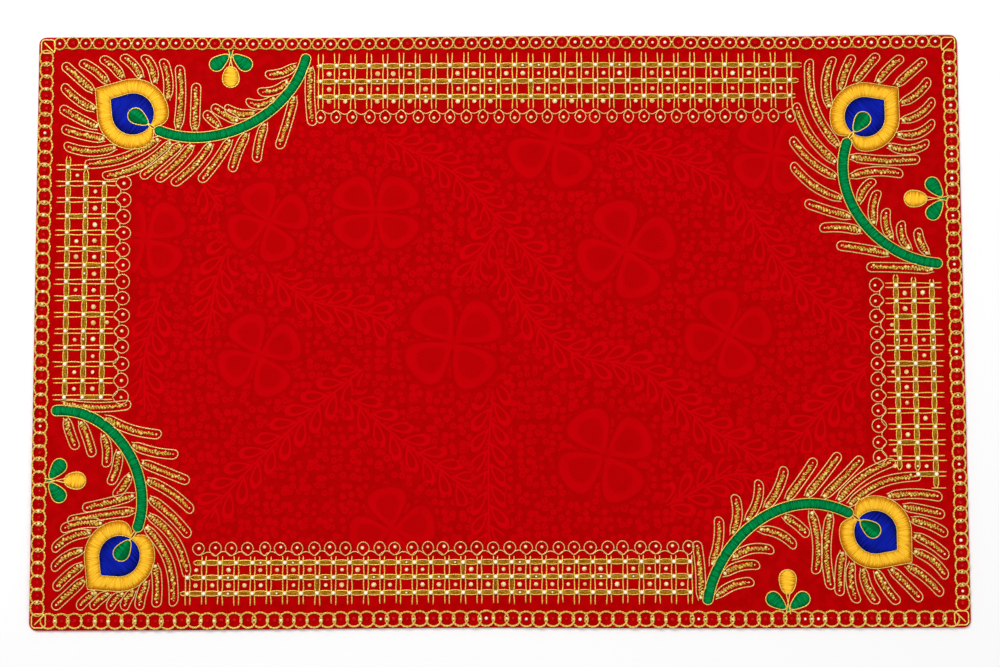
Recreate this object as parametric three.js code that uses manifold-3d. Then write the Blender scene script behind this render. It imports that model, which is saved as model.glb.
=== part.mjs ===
// Prayer seat mat: a flat sheet of red brocade with a peacock feather in padded satin stitch in each corner.
// Millimetres. +X along the long side, +Y away from the sitter, +Z up. The origin is at the centre of the
// underside, which lies on the floor.

import * as THREE from 'three';
import { mergeVertices } from 'three/addons/utils/BufferGeometryUtils.js';
import Module from 'manifold-3d';

const wasm = await Module();
wasm.setup();

// Driving dimensions of the cloth.
const MAT_LENGTH = 610;
const MAT_WIDTH = 390;
const CLOTH_THICK = 2.2;
const HEM_DROP = 0.7;
const HEM_LINES = [0, 3, 8];
const CORNER_RADIUS = 5;
const GRID_PITCH = 26;
const EDGE_SLACK_REACH = 40;
const FOLD = { x: -1, depth: 0.35, halfWidth: 9 };
const RIPPLE = { height: 0.1, lengthX: 46, lengthY: 39 };

// Where the long edges draw in: the place along X, how far in, and the reach to either side.
const SLACK_FAR = [
  { x: -120, depth: 0.75, reach: 85 },
  { x: 185, depth: 0.75, reach: 60 },
];
const SLACK_NEAR = [
  { x: -27, depth: 1.0, reach: 110 },
];

// Driving dimensions of the embroidery.
const GAP = 0.3;
const PAD = { height: 1.3, wall: 0.35, shoulder: 1.2 };
const LEAF_PAD = { height: 0.7, wall: 0.25, shoulder: 0.9 };
const HEART_PAD = { height: 0.7, wall: 0.3, shoulder: 1.2 };
const CORD_HEIGHT = 0.9;
const CORD_BAND = 1.4;
const EYE_CLEAR = 0.5;
const EYE_BAND = 8.8;
const EYE_POINT = 1.3;
const CLEFT = { depth: 6.5, halfAngle: 16 };
const NECK_SLIT = 1.2;
const EYE_STEPS = { outer: 11, inner: 9 };
const HEART_MARGIN = 0.5;
const EYE_LEAF = { shift: 2.3, radius: 4.8, point: 2.0 };
const STEM_HALF = 3;
const BARB_HALF = 3.4;
const BARB_SINK = 2.2;
const BUD = { radius: 5.5, point: 1.5, leafRadius: 4.5, leafPoint: 2.2, leafSpread: 52, leafStep: 1.7 };
const RAIL_WIDTH = 4.0;

const COLOURS = {
  cloth: 0xb80008,
  green: 0x008a46,
  yellow: 0xf7bd24,
  blue: 0x0f1b96,
  gold: 0xd4af37,
};
const THREAD_FINISH = { roughness: 0.6, metalness: 0 };
const GOLD_FINISH = { roughness: 0.35, metalness: 0.9 };

// The corner motifs, charted by hand in each corner's own frame: u runs along one edge and v inward from it,
// both from the mat's corner, and the next corner is the same turned a quarter clockwise.
// eye: centre, radius, direction of its point and of its neck in degrees. stem: cubic curve from the eye to
// the border. bud: u of its axis, v of its foot, its yellow base and its tip.
// Barbs: at = place of the root, as degrees round the eye or as millimetres along the stem; long = length;
// lean = degrees off the outward radius at the eye, or off the stem's way back to the eye; bow = how far the
// middle stands off the straight line, to the left of the way out.
const CORNERS = [
  {
    name: 'far_left', at: [-1, 1], along: [1, 0], inward: [0, -1],
    eye: { u: 63.3, v: 52, radius: 23, point: 214, neck: 34 },
    stem: [[78, 62], [116, 80], [170, 54], [178, 12]],
    bud: { u: 127.8, foot: 12.5, base: 20.5, tip: 34 },
    fan: {
      at: [115, 137, 158, 186, 210, 231, 254, 284, 305, 338],
      long: [35, 30, 29, 28, 28, 24, 21, 21, 21, 28],
      lean: [67, 57, 50, 31, 12, -13, -30, -56, -57, -75],
      bow: [-3.5, -1, -0.5, -1.5, 0, 1.5, 1.5, 1.5, 2.5, 2],
    },
    outer: {
      at: [5, 13, 19, 26, 38, 50, 61, 74, 99, 120],
      long: [52, 51, 35, 34, 38, 35, 28, 27, 37, 40],
      lean: [40, 40, 48, 47, 39, 38, 44, 44, 21, 20],
      bow: [-4.5, -5, 0, -1.5, -2, -1, 1, 1, -0.5, 1],
    },
    inner: {
      at: [15, 27, 45, 59, 72, 90, 105, 118],
      long: [43, 32, 15, 21, 21, 20, 22, 22],
      lean: [80, 91, 59, 53, 43, 37, 38, 52],
      bow: [1.5, 0, 0, -0.5, -2.5, -3.5, -3, -2],
    },
  },
  {
    name: 'far_right', at: [1, 1], along: [0, -1], inward: [-1, 0],
    eye: { u: 55.4, v: 62.8, radius: 22.5, point: 229, neck: 37 },
    stem: [[70, 74], [109, 90], [152, 54], [153, 14]],
    bud: { u: 110, foot: 13, base: 23, tip: 37.5 },
    fan: {
      at: [104, 137, 165, 200, 225, 250, 277, 300, 323],
      long: [35, 26, 25, 25, 27, 26, 27, 27, 28],
      lean: [81, 64, 55, 25, 4, -20, -40, -49, -57],
      bow: [-3.5, -1, -0.5, -1, 0, 2, 3, 4, 4],
    },
    outer: {
      at: [7, 17, 26, 40, 52, 63, 85, 114],
      long: [62, 48, 40, 41, 32, 28, 35, 44],
      lean: [32, 37, 42, 34, 41, 45, 22, 4],
      bow: [-7, -4, -3, -3.5, -0.5, 1.5, 0.5, 0.5],
    },
    inner: {
      at: [12, 26, 46, 65, 81, 96, 109],
      long: [46, 35, 19, 23, 21, 20, 19],
      lean: [83, 94, 61, 50, 47, 51, 59],
      bow: [1.5, -2.5, -2, -2, -2, -2.5, -1.5],
    },
  },
  {
    name: 'near_right', at: [1, -1], along: [-1, 0], inward: [0, 1],
    eye: { u: 61.2, v: 61.8, radius: 23, point: 220, neck: 37 },
    stem: [[76, 73], [119, 97], [165, 58], [171, 16]],
    bud: { u: 118.7, foot: 13, base: 22.5, tip: 37.5 },
    fan: {
      at: [109, 137, 160, 184, 206, 227, 249, 271, 291, 310, 331],
      long: [36, 28, 26, 27, 28, 30, 29, 26, 25, 27, 29],
      lean: [72, 55, 43, 29, 13, -7, -23, -35, -43, -47, -56],
      bow: [-2, -0.5, -1.5, -1.5, -2.5, -1.5, -0.5, 1, 2, 2.5, 1],
    },
    outer: {
      at: [5, 12, 21, 31, 43, 57, 71, 83, 106, 128],
      long: [51, 46, 37, 36, 33, 30, 28, 26, 32, 38],
      lean: [46, 52, 53, 49, 39, 36, 33, 38, 17, 13],
      bow: [-5.5, -3.5, 0.5, 0.5, 0.5, 2, 3, 2.5, 2, 1],
    },
    inner: {
      at: [14, 28, 48, 68, 95, 108, 124],
      long: [49, 41, 21, 27, 28, 25, 27],
      lean: [75, 86, 59, 62, 46, 51, 56],
      bow: [3, -2.5, -1, -3, -3.5, -2.5, -2.5],
    },
  },
  {
    name: 'near_left', at: [-1, -1], along: [0, 1], inward: [1, 0],
    eye: { u: 48, v: 58.4, radius: 22.3, point: 224, neck: 33 },
    stem: [[64, 69], [99, 83], [147, 53], [142, 13]],
    bud: { u: 96.8, foot: 12.5, base: 22, tip: 35.5 },
    fan: {
      at: [102, 130, 155, 172, 194, 211, 237, 258, 280, 310, 333],
      long: [28, 20, 15, 15, 16, 17, 28, 25, 24, 28, 28],
      lean: [76, 65, 54, 50, 36, 19, -10, -29, -42, -64, -71],
      bow: [-1, 1, 1, 1.5, 1, 1, 0, 1, 2, 3, 2],
    },
    outer: {
      at: [5, 12, 22, 33, 44, 56, 80, 107],
      long: [55, 48, 37, 37, 34, 31, 39, 45],
      lean: [36, 41, 44, 42, 45, 44, 16, 0],
      bow: [-6.5, -5.5, -1.5, -2, 0, 1.5, 2.5, 2],
    },
    inner: {
      at: [13, 24, 39, 58, 74, 93, 104],
      long: [44, 35, 18, 23, 22, 25, 22],
      lean: [75, 81, 54, 49, 45, 52, 66],
      bow: [0.5, -0.5, -0.5, -1.5, -1.5, -0.5, 0.5],
    },
  },
];

// The lattices: the side each one runs along and its three rails, as the distance from the mat's centre line
// and the two ends along the side. A rail stops short where a barb reaches into the lattice.
const LATTICES = [
  { name: 'far', alongX: true, rails: [[175, -120.2, 202.1], [164.4, -120.2, 199], [153.9, -120.2, 197.5]] },
  { name: 'near', alongX: true, rails: [[-171.3, -207, 124.8], [-161, -200.4, 124.8], [-151.5, -198.5, 124.8]] },
  { name: 'left', alongX: false, rails: [[-283.8, -43.9, 115], [-272, -44.9, 106.1], [-259.8, -44.9, 98]] },
  { name: 'right', alongX: false, rails: [[284, -104.9, 32.3], [272.1, -93.6, 33.5], [260.4, -93, 35]] },
];

const radians = (degrees) => THREE.MathUtils.degToRad(degrees);
const bump = (distance, reach) => Math.exp(-((distance / reach) ** 2));

// Height of the cloth's upper face: almost level, with a soft trough where the mat was folded in half.
function clothTop(x, y) {
  const ripple = RIPPLE.height * Math.sin(x / RIPPLE.lengthX) * Math.cos(y / RIPPLE.lengthY);
  return CLOTH_THICK + ripple - FOLD.depth * bump(x - FOLD.x, FOLD.halfWidth);
}

// How far a long edge draws in at x.
function slack(x, dips) {
  return dips.reduce((sum, dip) => sum + dip.depth * bump(x - dip.x, dip.reach), 0);
}

// Moves a point of the ideal rectangle to where the cloth has it: the long edges wander in a little, and the
// shift fades out towards the middle.
function settle(x, y) {
  const fromEdge = MAT_WIDTH / 2 - Math.abs(y);
  const share = Math.max(0, 1 - fromEdge / EDGE_SLACK_REACH);
  const shift = share * slack(x, y > 0 ? SLACK_FAR : SLACK_NEAR);
  return y - Math.sign(y) * shift;
}

// Positions of the grid lines across one side: close together at the hem and on a crease, evenly spaced
// between.
function gridLines(length, creases = []) {
  const hem = HEM_LINES.map((inset) => length / 2 - inset);
  const reach = hem.at(-1);
  const count = Math.round((2 * reach) / GRID_PITCH);
  const even = Array.from({ length: count - 1 }, (_, i) => (2 * reach * (i + 1)) / count - reach);
  const clear = even.filter((line) => creases.every((crease) => Math.abs(line - crease) > GRID_PITCH / 3));
  return [...hem, ...hem.map((line) => -line), ...clear, ...creases].sort((one, other) => one - other);
}

const GRID_X = gridLines(MAT_LENGTH, [-2, -1, 0, 1, 2].map((step) => FOLD.x + step * FOLD.halfWidth));
const GRID_Y = gridLines(MAT_WIDTH);

// Rounds a corner of the sheet by drawing square rings in to round ones.
function roundCorner(x, y) {
  const qx = Math.abs(x) - (MAT_LENGTH / 2 - CORNER_RADIUS);
  const qy = Math.abs(y) - (MAT_WIDTH / 2 - CORNER_RADIUS);
  if (qx <= 0 || qy <= 0) return [x, y];
  const shrink = Math.max(qx, qy) / Math.hypot(qx, qy);
  return [x - Math.sign(x) * qx * (1 - shrink), y - Math.sign(y) * qy * (1 - shrink)];
}

function makeCloth() {
  const cellsX = GRID_X.length - 1;
  const cellsY = GRID_Y.length - 1;
  const geometry = new THREE.BoxGeometry(1, 1, 1, cellsX, cellsY, 1);
  const position = geometry.attributes.position;
  for (let i = 0; i < position.count; i += 1) {
    const gridX = GRID_X[Math.round((position.getX(i) + 0.5) * cellsX)];
    const gridY = GRID_Y[Math.round((position.getY(i) + 0.5) * cellsY)];
    const [x, y] = roundCorner(gridX, gridY);
    const atRim = Math.abs(gridX) === MAT_LENGTH / 2 || Math.abs(gridY) === MAT_WIDTH / 2;
    const top = clothTop(x, y) - (atRim ? HEM_DROP : 0);
    position.setXYZ(i, x, settle(x, y), position.getZ(i) > 0 ? top : 0);
  }
  return geometry;
}

// From a corner's own frame to the mat's.
function placer(corner) {
  const [signX, signY] = corner.at;
  return ([u, v]) => new THREE.Vector2(
    (signX * MAT_LENGTH) / 2 + u * corner.along[0] + v * corner.inward[0],
    (signY * MAT_WIDTH) / 2 + u * corner.along[1] + v * corner.inward[1],
  );
}

// Radius of a teardrop at an angle off its point: a circle with two straight flanks that meet at
// point times the radius.
function teardropRadius(offPoint, radius, point) {
  const shoulder = Math.acos(1 / point);
  return radius / Math.cos(Math.max(0, shoulder - Math.abs(offPoint)));
}

function teardrop({ u, v, radius, point, heading, steps }) {
  const points = [];
  for (let i = 0; i < steps; i += 1) {
    const off = (2 * Math.PI * i) / steps - Math.PI;
    const r = teardropRadius(off, radius, point);
    points.push([u + r * Math.cos(radians(heading) + off), v + r * Math.sin(radians(heading) + off)]);
  }
  return points;
}

// The eye's outline at one angle, with the cleft that the stem's end sits in.
function eyeRadius(eye, angle, grow) {
  const offPoint = THREE.MathUtils.euclideanModulo(angle - eye.point + 180, 360) - 180;
  const offNeck = THREE.MathUtils.euclideanModulo(angle - eye.neck + 180, 360) - 180;
  const plain = teardropRadius(radians(offPoint), eye.radius + grow, EYE_POINT);
  return plain - CLEFT.depth * bump(offNeck, CLEFT.halfAngle);
}

const polar = (eye, angle, r) => [eye.u + r * Math.cos(radians(angle)), eye.v + r * Math.sin(radians(angle))];

// Angles round the eye from one side of the neck to the other, with one on the point itself.
function eyeAngles(eye, slit, steps) {
  const start = eye.neck + slit;
  const half = eye.point - start;
  const rest = eye.neck + 360 - slit - eye.point;
  const angles = [];
  for (let i = 0; i <= steps; i += 1) angles.push(start + (half * i) / steps);
  for (let i = 1; i <= steps; i += 1) angles.push(eye.point + (rest * i) / steps);
  return angles;
}

// The angle that half the slit at the neck takes up at a radius.
const slitAngle = (radius) => THREE.MathUtils.radToDeg(NECK_SLIT / 2 / radius);

function eyeOuterOutline(eye, grow) {
  const slit = slitAngle(eye.radius - CLEFT.depth);
  return eyeAngles(eye, slit, EYE_STEPS.outer).map((angle) => polar(eye, angle, eyeRadius(eye, angle, grow)));
}

function eyeRingOutline(eye) {
  const radius = eye.radius - EYE_BAND;
  const inner = eyeAngles(eye, slitAngle(radius), EYE_STEPS.inner).map((angle) => {
    const off = THREE.MathUtils.euclideanModulo(angle - eye.point + 180, 360) - 180;
    return polar(eye, angle, teardropRadius(radians(off), radius, EYE_POINT));
  });
  return eyeOuterOutline(eye, 0).concat(inner.reverse());
}

// The stem as a curve in the corner's frame, and its length.
function stemCurve(corner) {
  return new THREE.CubicBezierCurve(...corner.stem.map(([u, v]) => new THREE.Vector2(u, v)));
}

function stemOutline(corner, half) {
  const curve = stemCurve(corner);
  const stations = 11;
  const length = curve.getLength();
  const left = [];
  const right = [];
  for (let i = 0; i < stations; i += 1) {
    const t = (STEM_HALF + ((length - 2 * STEM_HALF) * i) / (stations - 1)) / length;
    const p = curve.getPointAt(t);
    const d = curve.getTangentAt(t);
    left.push([p.x - d.y * half, p.y + d.x * half]);
    right.push([p.x + d.y * half, p.y - d.x * half]);
    if (i === 0 || i === stations - 1) {
      const way = i === 0 ? -1 : 1;
      for (const turn of [45, 0, -45]) {
        const a = Math.atan2(way * d.y, way * d.x) + radians(turn);
        const cap = [p.x + half * Math.cos(a), p.y + half * Math.sin(a)];
        if (i === 0) right.unshift(cap);
        else left.push(cap);
      }
    }
  }
  return left.concat(right.reverse());
}

// One barb: a slim tongue from its root to a round tip, a little bowed.
function barbOutline(root, direction, length, bow) {
  const side = [-direction[1], direction[0]];
  const at = (along, across) => [
    root[0] + direction[0] * along + side[0] * across,
    root[1] + direction[1] * along + side[1] * across,
  ];
  const off = (share) => bow * Math.sin(Math.PI * share);
  const straight = length - BARB_HALF;
  const stations = [-BARB_SINK / length, 0.45, 1 - BARB_HALF / length];
  const left = stations.map((share) => at(share * length, off(share) + BARB_HALF));
  const right = stations.map((share) => at(share * length, off(share) - BARB_HALF)).reverse();
  const tip = [50, 0, -50].map((turn) => at(
    straight + BARB_HALF * Math.cos(radians(turn)),
    off(stations[2]) + BARB_HALF * Math.sin(radians(turn)),
  ));
  return [...left, ...tip, ...right];
}

// Every barb of a feather, as outlines in the corner's frame.
function barbOutlines(corner) {
  const { eye, fan } = corner;
  const curve = stemCurve(corner);
  const stemLength = curve.getLength();
  const outlines = fan.at.map((angle, i) => {
    const root = polar(eye, angle, eyeRadius(eye, angle, CORD_BAND));
    const heading = radians(angle + fan.lean[i]);
    return barbOutline(root, [Math.cos(heading), Math.sin(heading)], fan.long[i], fan.bow[i]);
  });
  for (const [group, way] of [[corner.outer, 1], [corner.inner, -1]]) {
    group.at.forEach((place, i) => {
      const t = place / stemLength;
      const p = curve.getPointAt(t);
      const d = curve.getTangentAt(t);
      const offset = way * (STEM_HALF + CORD_BAND);
      const root = [p.x - d.y * offset, p.y + d.x * offset];
      const heading = Math.atan2(-d.y, -d.x) - way * radians(group.lean[i]);
      outlines.push(barbOutline(root, [Math.cos(heading), Math.sin(heading)], group.long[i], group.bow[i]));
    });
  }
  return outlines;
}

// Lifts a shape made flat at z = 0 onto the cloth.
function lay(geometry, lift) {
  const position = geometry.attributes.position;
  for (let i = 0; i < position.count; i += 1) {
    const x = position.getX(i);
    const y = position.getY(i);
    position.setXYZ(i, x, settle(x, y), position.getZ(i) + clothTop(x, y) + lift);
  }
  return geometry;
}

// A satin pad: an outline with a low wall, a rounded shoulder and a flat back.
function padGeometry(outline, { height, wall, shoulder }, lift) {
  const geometry = new THREE.ExtrudeGeometry(new THREE.Shape(outline), {
    depth: wall,
    bevelThickness: height - wall,
    bevelSize: shoulder,
    bevelOffset: -shoulder,
    bevelSegments: 1,
    curveSegments: 1,
  });
  const position = geometry.attributes.position;
  for (let i = 0; i < position.count; i += 1) position.setZ(i, Math.max(0, position.getZ(i)));
  return lay(geometry, lift);
}

function prism(outline, bottom, top) {
  const geometry = new THREE.ExtrudeGeometry(new THREE.Shape(outline), {
    depth: top - bottom,
    bevelEnabled: false,
    curveSegments: 1,
  });
  return geometry.translate(0, 0, bottom);
}

function toManifold(geometry) {
  const bare = geometry.clone();
  bare.deleteAttribute('normal');
  bare.deleteAttribute('uv');
  const merged = mergeVertices(bare);
  return new wasm.Manifold(new wasm.Mesh({
    numProp: 3,
    vertProperties: merged.attributes.position.array,
    triVerts: merged.index.array,
  }));
}

function toGeometry(manifold) {
  const mesh = manifold.getMesh();
  const geometry = new THREE.BufferGeometry();
  geometry.setAttribute('position', new THREE.BufferAttribute(mesh.vertProperties, 3));
  geometry.setIndex(new THREE.BufferAttribute(mesh.triVerts, 1));
  return geometry;
}

// The gold work of a feather: a cord band round the eye and the stem with every barb rooted in it, cut clear
// of the satin pads.
function plumeGeometry(corner, place) {
  const onMat = (outline) => outline.map(place);
  const bands = [eyeOuterOutline(corner.eye, CORD_BAND + GAP), stemOutline(corner, STEM_HALF + CORD_BAND + GAP)];
  const pads = [eyeOuterOutline(corner.eye, EYE_CLEAR), stemOutline(corner, STEM_HALF + GAP)];
  const solids = bands.concat(barbOutlines(corner))
    .map((outline) => toManifold(prism(onMat(outline), 0, CORD_HEIGHT)));
  const whole = solids.reduce((sum, solid) => sum.add(solid));
  const cut = pads.reduce(
    (rest, outline) => rest.subtract(toManifold(prism(onMat(outline), -1, CORD_HEIGHT + 1))),
    whole,
  );
  return lay(toGeometry(cut), GAP);
}

function mesh(name, geometry, colour, finish = THREAD_FINISH) {
  const made = new THREE.Mesh(geometry, new THREE.MeshStandardMaterial({ color: colour, ...finish }));
  made.name = name;
  return made;
}

function makeFeather(corner) {
  const group = new THREE.Group();
  const place = placer(corner);
  const { name, eye, bud } = corner;
  const onMat = (outline) => outline.map(place);
  const heart = teardrop({
    u: eye.u, v: eye.v, radius: eye.radius - EYE_BAND - HEART_MARGIN, point: EYE_POINT, heading: eye.point, steps: 20,
  });
  const [leafU, leafV] = polar(eye, eye.neck, EYE_LEAF.shift);
  const leaf = teardrop({
    u: leafU, v: leafV, radius: EYE_LEAF.radius, point: EYE_LEAF.point, heading: eye.neck, steps: 14,
  });
  const leafLift = 2 * GAP + HEART_PAD.height;
  group.add(
    mesh(`${name}_eye_ring`, padGeometry(onMat(eyeRingOutline(eye)), PAD, GAP), COLOURS.yellow),
    mesh(`${name}_eye_heart`, padGeometry(onMat(heart), HEART_PAD, GAP), COLOURS.blue),
    mesh(`${name}_eye_leaf`, padGeometry(onMat(leaf), LEAF_PAD, leafLift), COLOURS.green),
    mesh(`${name}_stem`, padGeometry(onMat(stemOutline(corner, STEM_HALF)), PAD, GAP), COLOURS.green),
    mesh(`${name}_plume`, plumeGeometry(corner, place), COLOURS.gold, GOLD_FINISH),
  );
  const budMiddle = bud.tip - BUD.radius;
  const budOutline = teardrop({
    u: bud.u, v: budMiddle, radius: BUD.radius, point: (budMiddle - bud.base) / BUD.radius, heading: -90, steps: 14,
  });
  group.add(mesh(`${name}_bud`, padGeometry(onMat(budOutline), PAD, GAP), COLOURS.yellow));
  for (const [side, way] of [['first', -1], ['second', 1]]) {
    const heading = 90 + way * BUD.leafSpread;
    const reach = BUD.leafRadius * BUD.leafPoint;
    const outline = teardrop({
      u: bud.u - way * BUD.leafStep + reach * Math.cos(radians(heading)),
      v: bud.foot + reach * Math.sin(radians(heading)),
      radius: BUD.leafRadius, point: BUD.leafPoint, heading: heading + 180, steps: 14,
    });
    group.add(mesh(`${name}_bud_leaf_${side}`, padGeometry(onMat(outline), PAD, GAP), COLOURS.green));
  }
  return group;
}

// One rail: a bar across the same grid lines as the cloth under it.
function railGeometry(alongX, offset, start, end) {
  const lines = (alongX ? GRID_X : GRID_Y).filter((line) => line > start + 1 && line < end - 1);
  const stations = [start, ...lines, end];
  const cells = stations.length - 1;
  const geometry = new THREE.BoxGeometry(1, 1, 1, alongX ? cells : 1, alongX ? 1 : cells, 1);
  const position = geometry.attributes.position;
  for (let i = 0; i < position.count; i += 1) {
    const share = alongX ? position.getX(i) : position.getY(i);
    const across = offset + RAIL_WIDTH * (alongX ? position.getY(i) : position.getX(i));
    const along = stations[Math.round((share + 0.5) * cells)];
    const height = CORD_HEIGHT * (position.getZ(i) + 0.5);
    position.setXYZ(i, alongX ? along : across, alongX ? across : along, height);
  }
  return lay(geometry, GAP);
}

function makeRails(lattice) {
  const group = new THREE.Group();
  lattice.rails.forEach(([offset, start, end], number) => {
    const geometry = railGeometry(lattice.alongX, offset, start, end);
    group.add(mesh(`${lattice.name}_rail_${number + 1}`, geometry, COLOURS.gold, GOLD_FINISH));
  });
  return group;
}

const mat = new THREE.Group();
mat.add(mesh('mat_cloth', makeCloth(), COLOURS.cloth));
CORNERS.forEach((corner) => mat.add(makeFeather(corner)));
LATTICES.forEach((lattice) => mat.add(makeRails(lattice)));

export default mat;
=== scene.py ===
# Prayer seat mat: figured red brocade, gold cord lattices along its sides, a chain of gold cord rings round
# its edge and a peacock feather in padded satin stitch in each corner. The script dresses the mat's packed
# solids. Tables are in millimetres, properties and meshes in metres.

import math

import bmesh
import bpy
import numpy as np
from bpy.props import FloatProperty, FloatVectorProperty, IntProperty, PointerProperty
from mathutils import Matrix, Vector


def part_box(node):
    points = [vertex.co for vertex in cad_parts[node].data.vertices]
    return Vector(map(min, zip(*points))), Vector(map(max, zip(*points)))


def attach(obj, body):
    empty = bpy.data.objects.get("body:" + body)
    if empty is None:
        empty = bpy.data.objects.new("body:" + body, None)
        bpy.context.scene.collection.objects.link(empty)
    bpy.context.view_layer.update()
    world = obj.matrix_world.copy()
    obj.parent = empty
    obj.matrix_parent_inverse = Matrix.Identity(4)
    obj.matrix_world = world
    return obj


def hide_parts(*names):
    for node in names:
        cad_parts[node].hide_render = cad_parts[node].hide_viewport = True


bl_info = {
    "name": "Prayer Seat Mat",
    "version": (1, 0, 0),
    "blender": (4, 5, 0),
    "location": "3D View > Sidebar > Seat Mat",
    "description": "Dresses a brocade seat mat with satin feathers, gold cord lattices and a ring chain",
    "category": "Add Mesh",
}

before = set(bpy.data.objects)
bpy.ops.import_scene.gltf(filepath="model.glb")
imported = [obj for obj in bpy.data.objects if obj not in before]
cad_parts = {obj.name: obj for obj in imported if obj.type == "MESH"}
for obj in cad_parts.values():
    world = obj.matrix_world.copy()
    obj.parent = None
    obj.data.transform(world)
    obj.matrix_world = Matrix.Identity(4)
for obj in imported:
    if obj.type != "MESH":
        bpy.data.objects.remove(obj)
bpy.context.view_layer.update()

MM = 0.001
CLOTH_LOW, CLOTH_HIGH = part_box("mat_cloth")
MAT_LENGTH = round((CLOTH_HIGH.x - CLOTH_LOW.x) / MM, 1)
MAT_WIDTH = round((CLOTH_HIGH.y - CLOTH_LOW.y) / MM, 1)

# The lie of the cloth, as in the mat's solids.
CLOTH_THICK = 2.2
CORNER_RADIUS = 5
EDGE_SLACK_REACH = 40
FOLD = {"x": -1, "depth": 0.35, "half_width": 9}
RIPPLE = {"height": 0.1, "length_x": 46, "length_y": 39}
SLACK_FAR = [{"x": -120, "depth": 0.75, "reach": 85}, {"x": 185, "depth": 0.75, "reach": 60}]
SLACK_NEAR = [{"x": -27, "depth": 1.0, "reach": 110}]

# Fine relief that only the dressed cloth has. HEM_LINES are the mesh lines beside the edge, and the roll of
# the hem ends at one of them. Puckers, in each direction: their length, how far they wander and how slowly.
HEM_LINES = [0, 0.12, 0.4, 0.8, 1.3, 2.0, 3.2, 5.0]
HEM_ROLL = HEM_LINES[5]
HEM_BELLY = 1.2
HEM_CALM = 6
CREASE = {"depth": 0.22, "half_width": 2.2, "wander": 1.2, "length": 61}
PUCKER = {"height": 0.07, "x": (6.1, 1.3, 17), "y": (5.3, 1.1, 23)}

# Driving sizes of the padded satin stitch. EYE_STRETCH is how much longer the band's middle line is than a
# circle, and FULL_CROWN the half width, as a share of the radius, at which a teardrop is at its full height.
PAD = {"height": 1.3, "wall": 0.35}
LEAF_PAD = {"height": 0.7, "wall": 0.2}
HEART_PAD = {"height": 0.75, "wall": 0.25}
EYE_BAND = 8.8
EYE_POINT = 1.3
CLEFT = {"depth": 6.5, "half_angle": 16}
EYE_STRETCH = 1.06
NECK_SLIT = 0.96
HEART_MARGIN = 0.35
EYE_LEAF = {"shift": 2.3, "radius": 4.8, "point": 2.0}
STEM_HALF = 3
BUD = {"radius": 5.2, "leaf_radius": 4.5, "leaf_point": 2.2, "leaf_spread": 52, "leaf_step": 1.7}
BUD_NUB = {"radius": 1.5, "point": 1.4, "sink": 1.2}
LEAF_FULLNESS = 0.55
BUD_FULLNESS = 1.0
FULL_CROWN = 0.62
MIN_HALF_ROW = 0.25
RIDGE = 0.07
RIDGE_STRAY = 0.02
STITCH_FRAY = 0.22

# The gold cords round the satin: how far beside the shape, how high over the cloth, and how thick as a share
# of the outline cord. neck: the two cords from the heart's leaf to the stem. bud_neck: the crossed pair
# below the bud.
OUTLINE_STEP = 0.5
OUTLINES = {
    "eye": {"beside": 0.45, "lift": 0.5, "girth": 0.65, "gap": 4, "points": 150},
    "heart": {"beside": -0.15, "lift": 0.62, "girth": 0.55, "gap": 3, "points": 100},
    "heart_leaf": {"beside": 0.4, "lift": HEART_PAD["height"] + 0.45, "girth": 0.8, "points": 44},
    "stem": {"beside": 0.45, "lift": 0.5, "girth": 0.75},
    "neck": {"beside": 0.55, "lift": 1.15, "girth": 1.0, "points": 8},
    "bud": {"beside": 0.35, "lift": 0.5, "girth": 0.85, "points": 40},
    "bud_leaf": {"beside": 0.35, "lift": 0.55, "girth": 0.85, "points": 40},
    "bud_neck": {"beside": 1.5, "lift": 0.95, "girth": 0.85, "points": 9, "below": 3.5, "above": 1.5},
}

# Driving sizes of the gold work on the feathers.
CORD_BAND = 1.4
BARB_HALF = 3.1
BARB_STEP = 1.1
BARB_SUNK = 0.4
BARB_LIFT = 0.34
BARB_ROOT = {"reach": 3.0, "pinch": 0.5}
BULLION = {
    "radius": 1.75, "pitch": 1.9, "turn_points": 8, "start": 1.6, "stop": 4.4, "lift": 0.62, "rise": 0.36,
    "wobble": 0.9, "sway": 0.5, "thinning": 0.25, "widths": (0.45, 1.15, 14), "girths": (0.7, 1.3),
}
CORE = {"cord": 0.85, "aside": 0.55, "stray": 0.6, "step": 1.5, "lift": 0.4, "girths": (0.4, 1.4)}
CHIP = {"step": 2.1, "spread": 1.3, "stray": 0.6}
ROOT_BEAD_AT = 1.7
TIP_BEAD_AT = 3.2

# The beads: diameter, smallest and largest as a share of it, finish, height over the cloth, and how flat. A
# joint of the ring chain has its diameter from its side of the mat.
BEADS = {
    "barb_chips": {"diameter": 1.7, "sizes": (0.5, 1.2), "finish": "chip_gloss", "lift": 1.05},
    "root_beads": {"diameter": 2.2, "sizes": (0.7, 1.15), "finish": "bead_gloss", "lift": 0.8},
    "tip_beads": {"diameter": 1.5, "sizes": (0.6, 1.1), "finish": "bead_gloss", "lift": 0.55},
    "crossing_pearls": {"diameter": 2.7, "sizes": (0.88, 1.08), "finish": "pearl_gloss", "lift": 1.75},
    "rail_beads": {"diameter": 1.6, "sizes": (0.8, 1.08), "finish": "pearl_gloss", "lift": 1.4},
    "spangles": {"diameter": 3.2, "sizes": (0.75, 1.08), "finish": "bead_gloss", "lift": 0.5},
    "loop_beads": {"diameter": 2.3, "sizes": (0.8, 1.08), "finish": "bead_gloss", "lift": 0.55},
    "chain_pearls": {"diameter": 2.1, "sizes": (0.8, 1.1), "finish": "pearl_gloss", "lift": 0.8},
    # The ring chain's knots: pale beads at the ring crossings, partly the knot that holds them and partly a
    # painted highlight on the crossing.
    "chain_knot_highlights": {"sizes": (0.8, 1.15), "finish": "bead_gloss", "lift": 1.2, "flatness": 0.5},
    "red_knots": {"diameter": 2.8, "sizes": (0.8, 1.1), "finish": "knot_red", "lift": 0.35, "flatness": 0.35},
}
FACETED = ("barb_chips", "spangles")
ROUND_FLATNESS = 0.8

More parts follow.
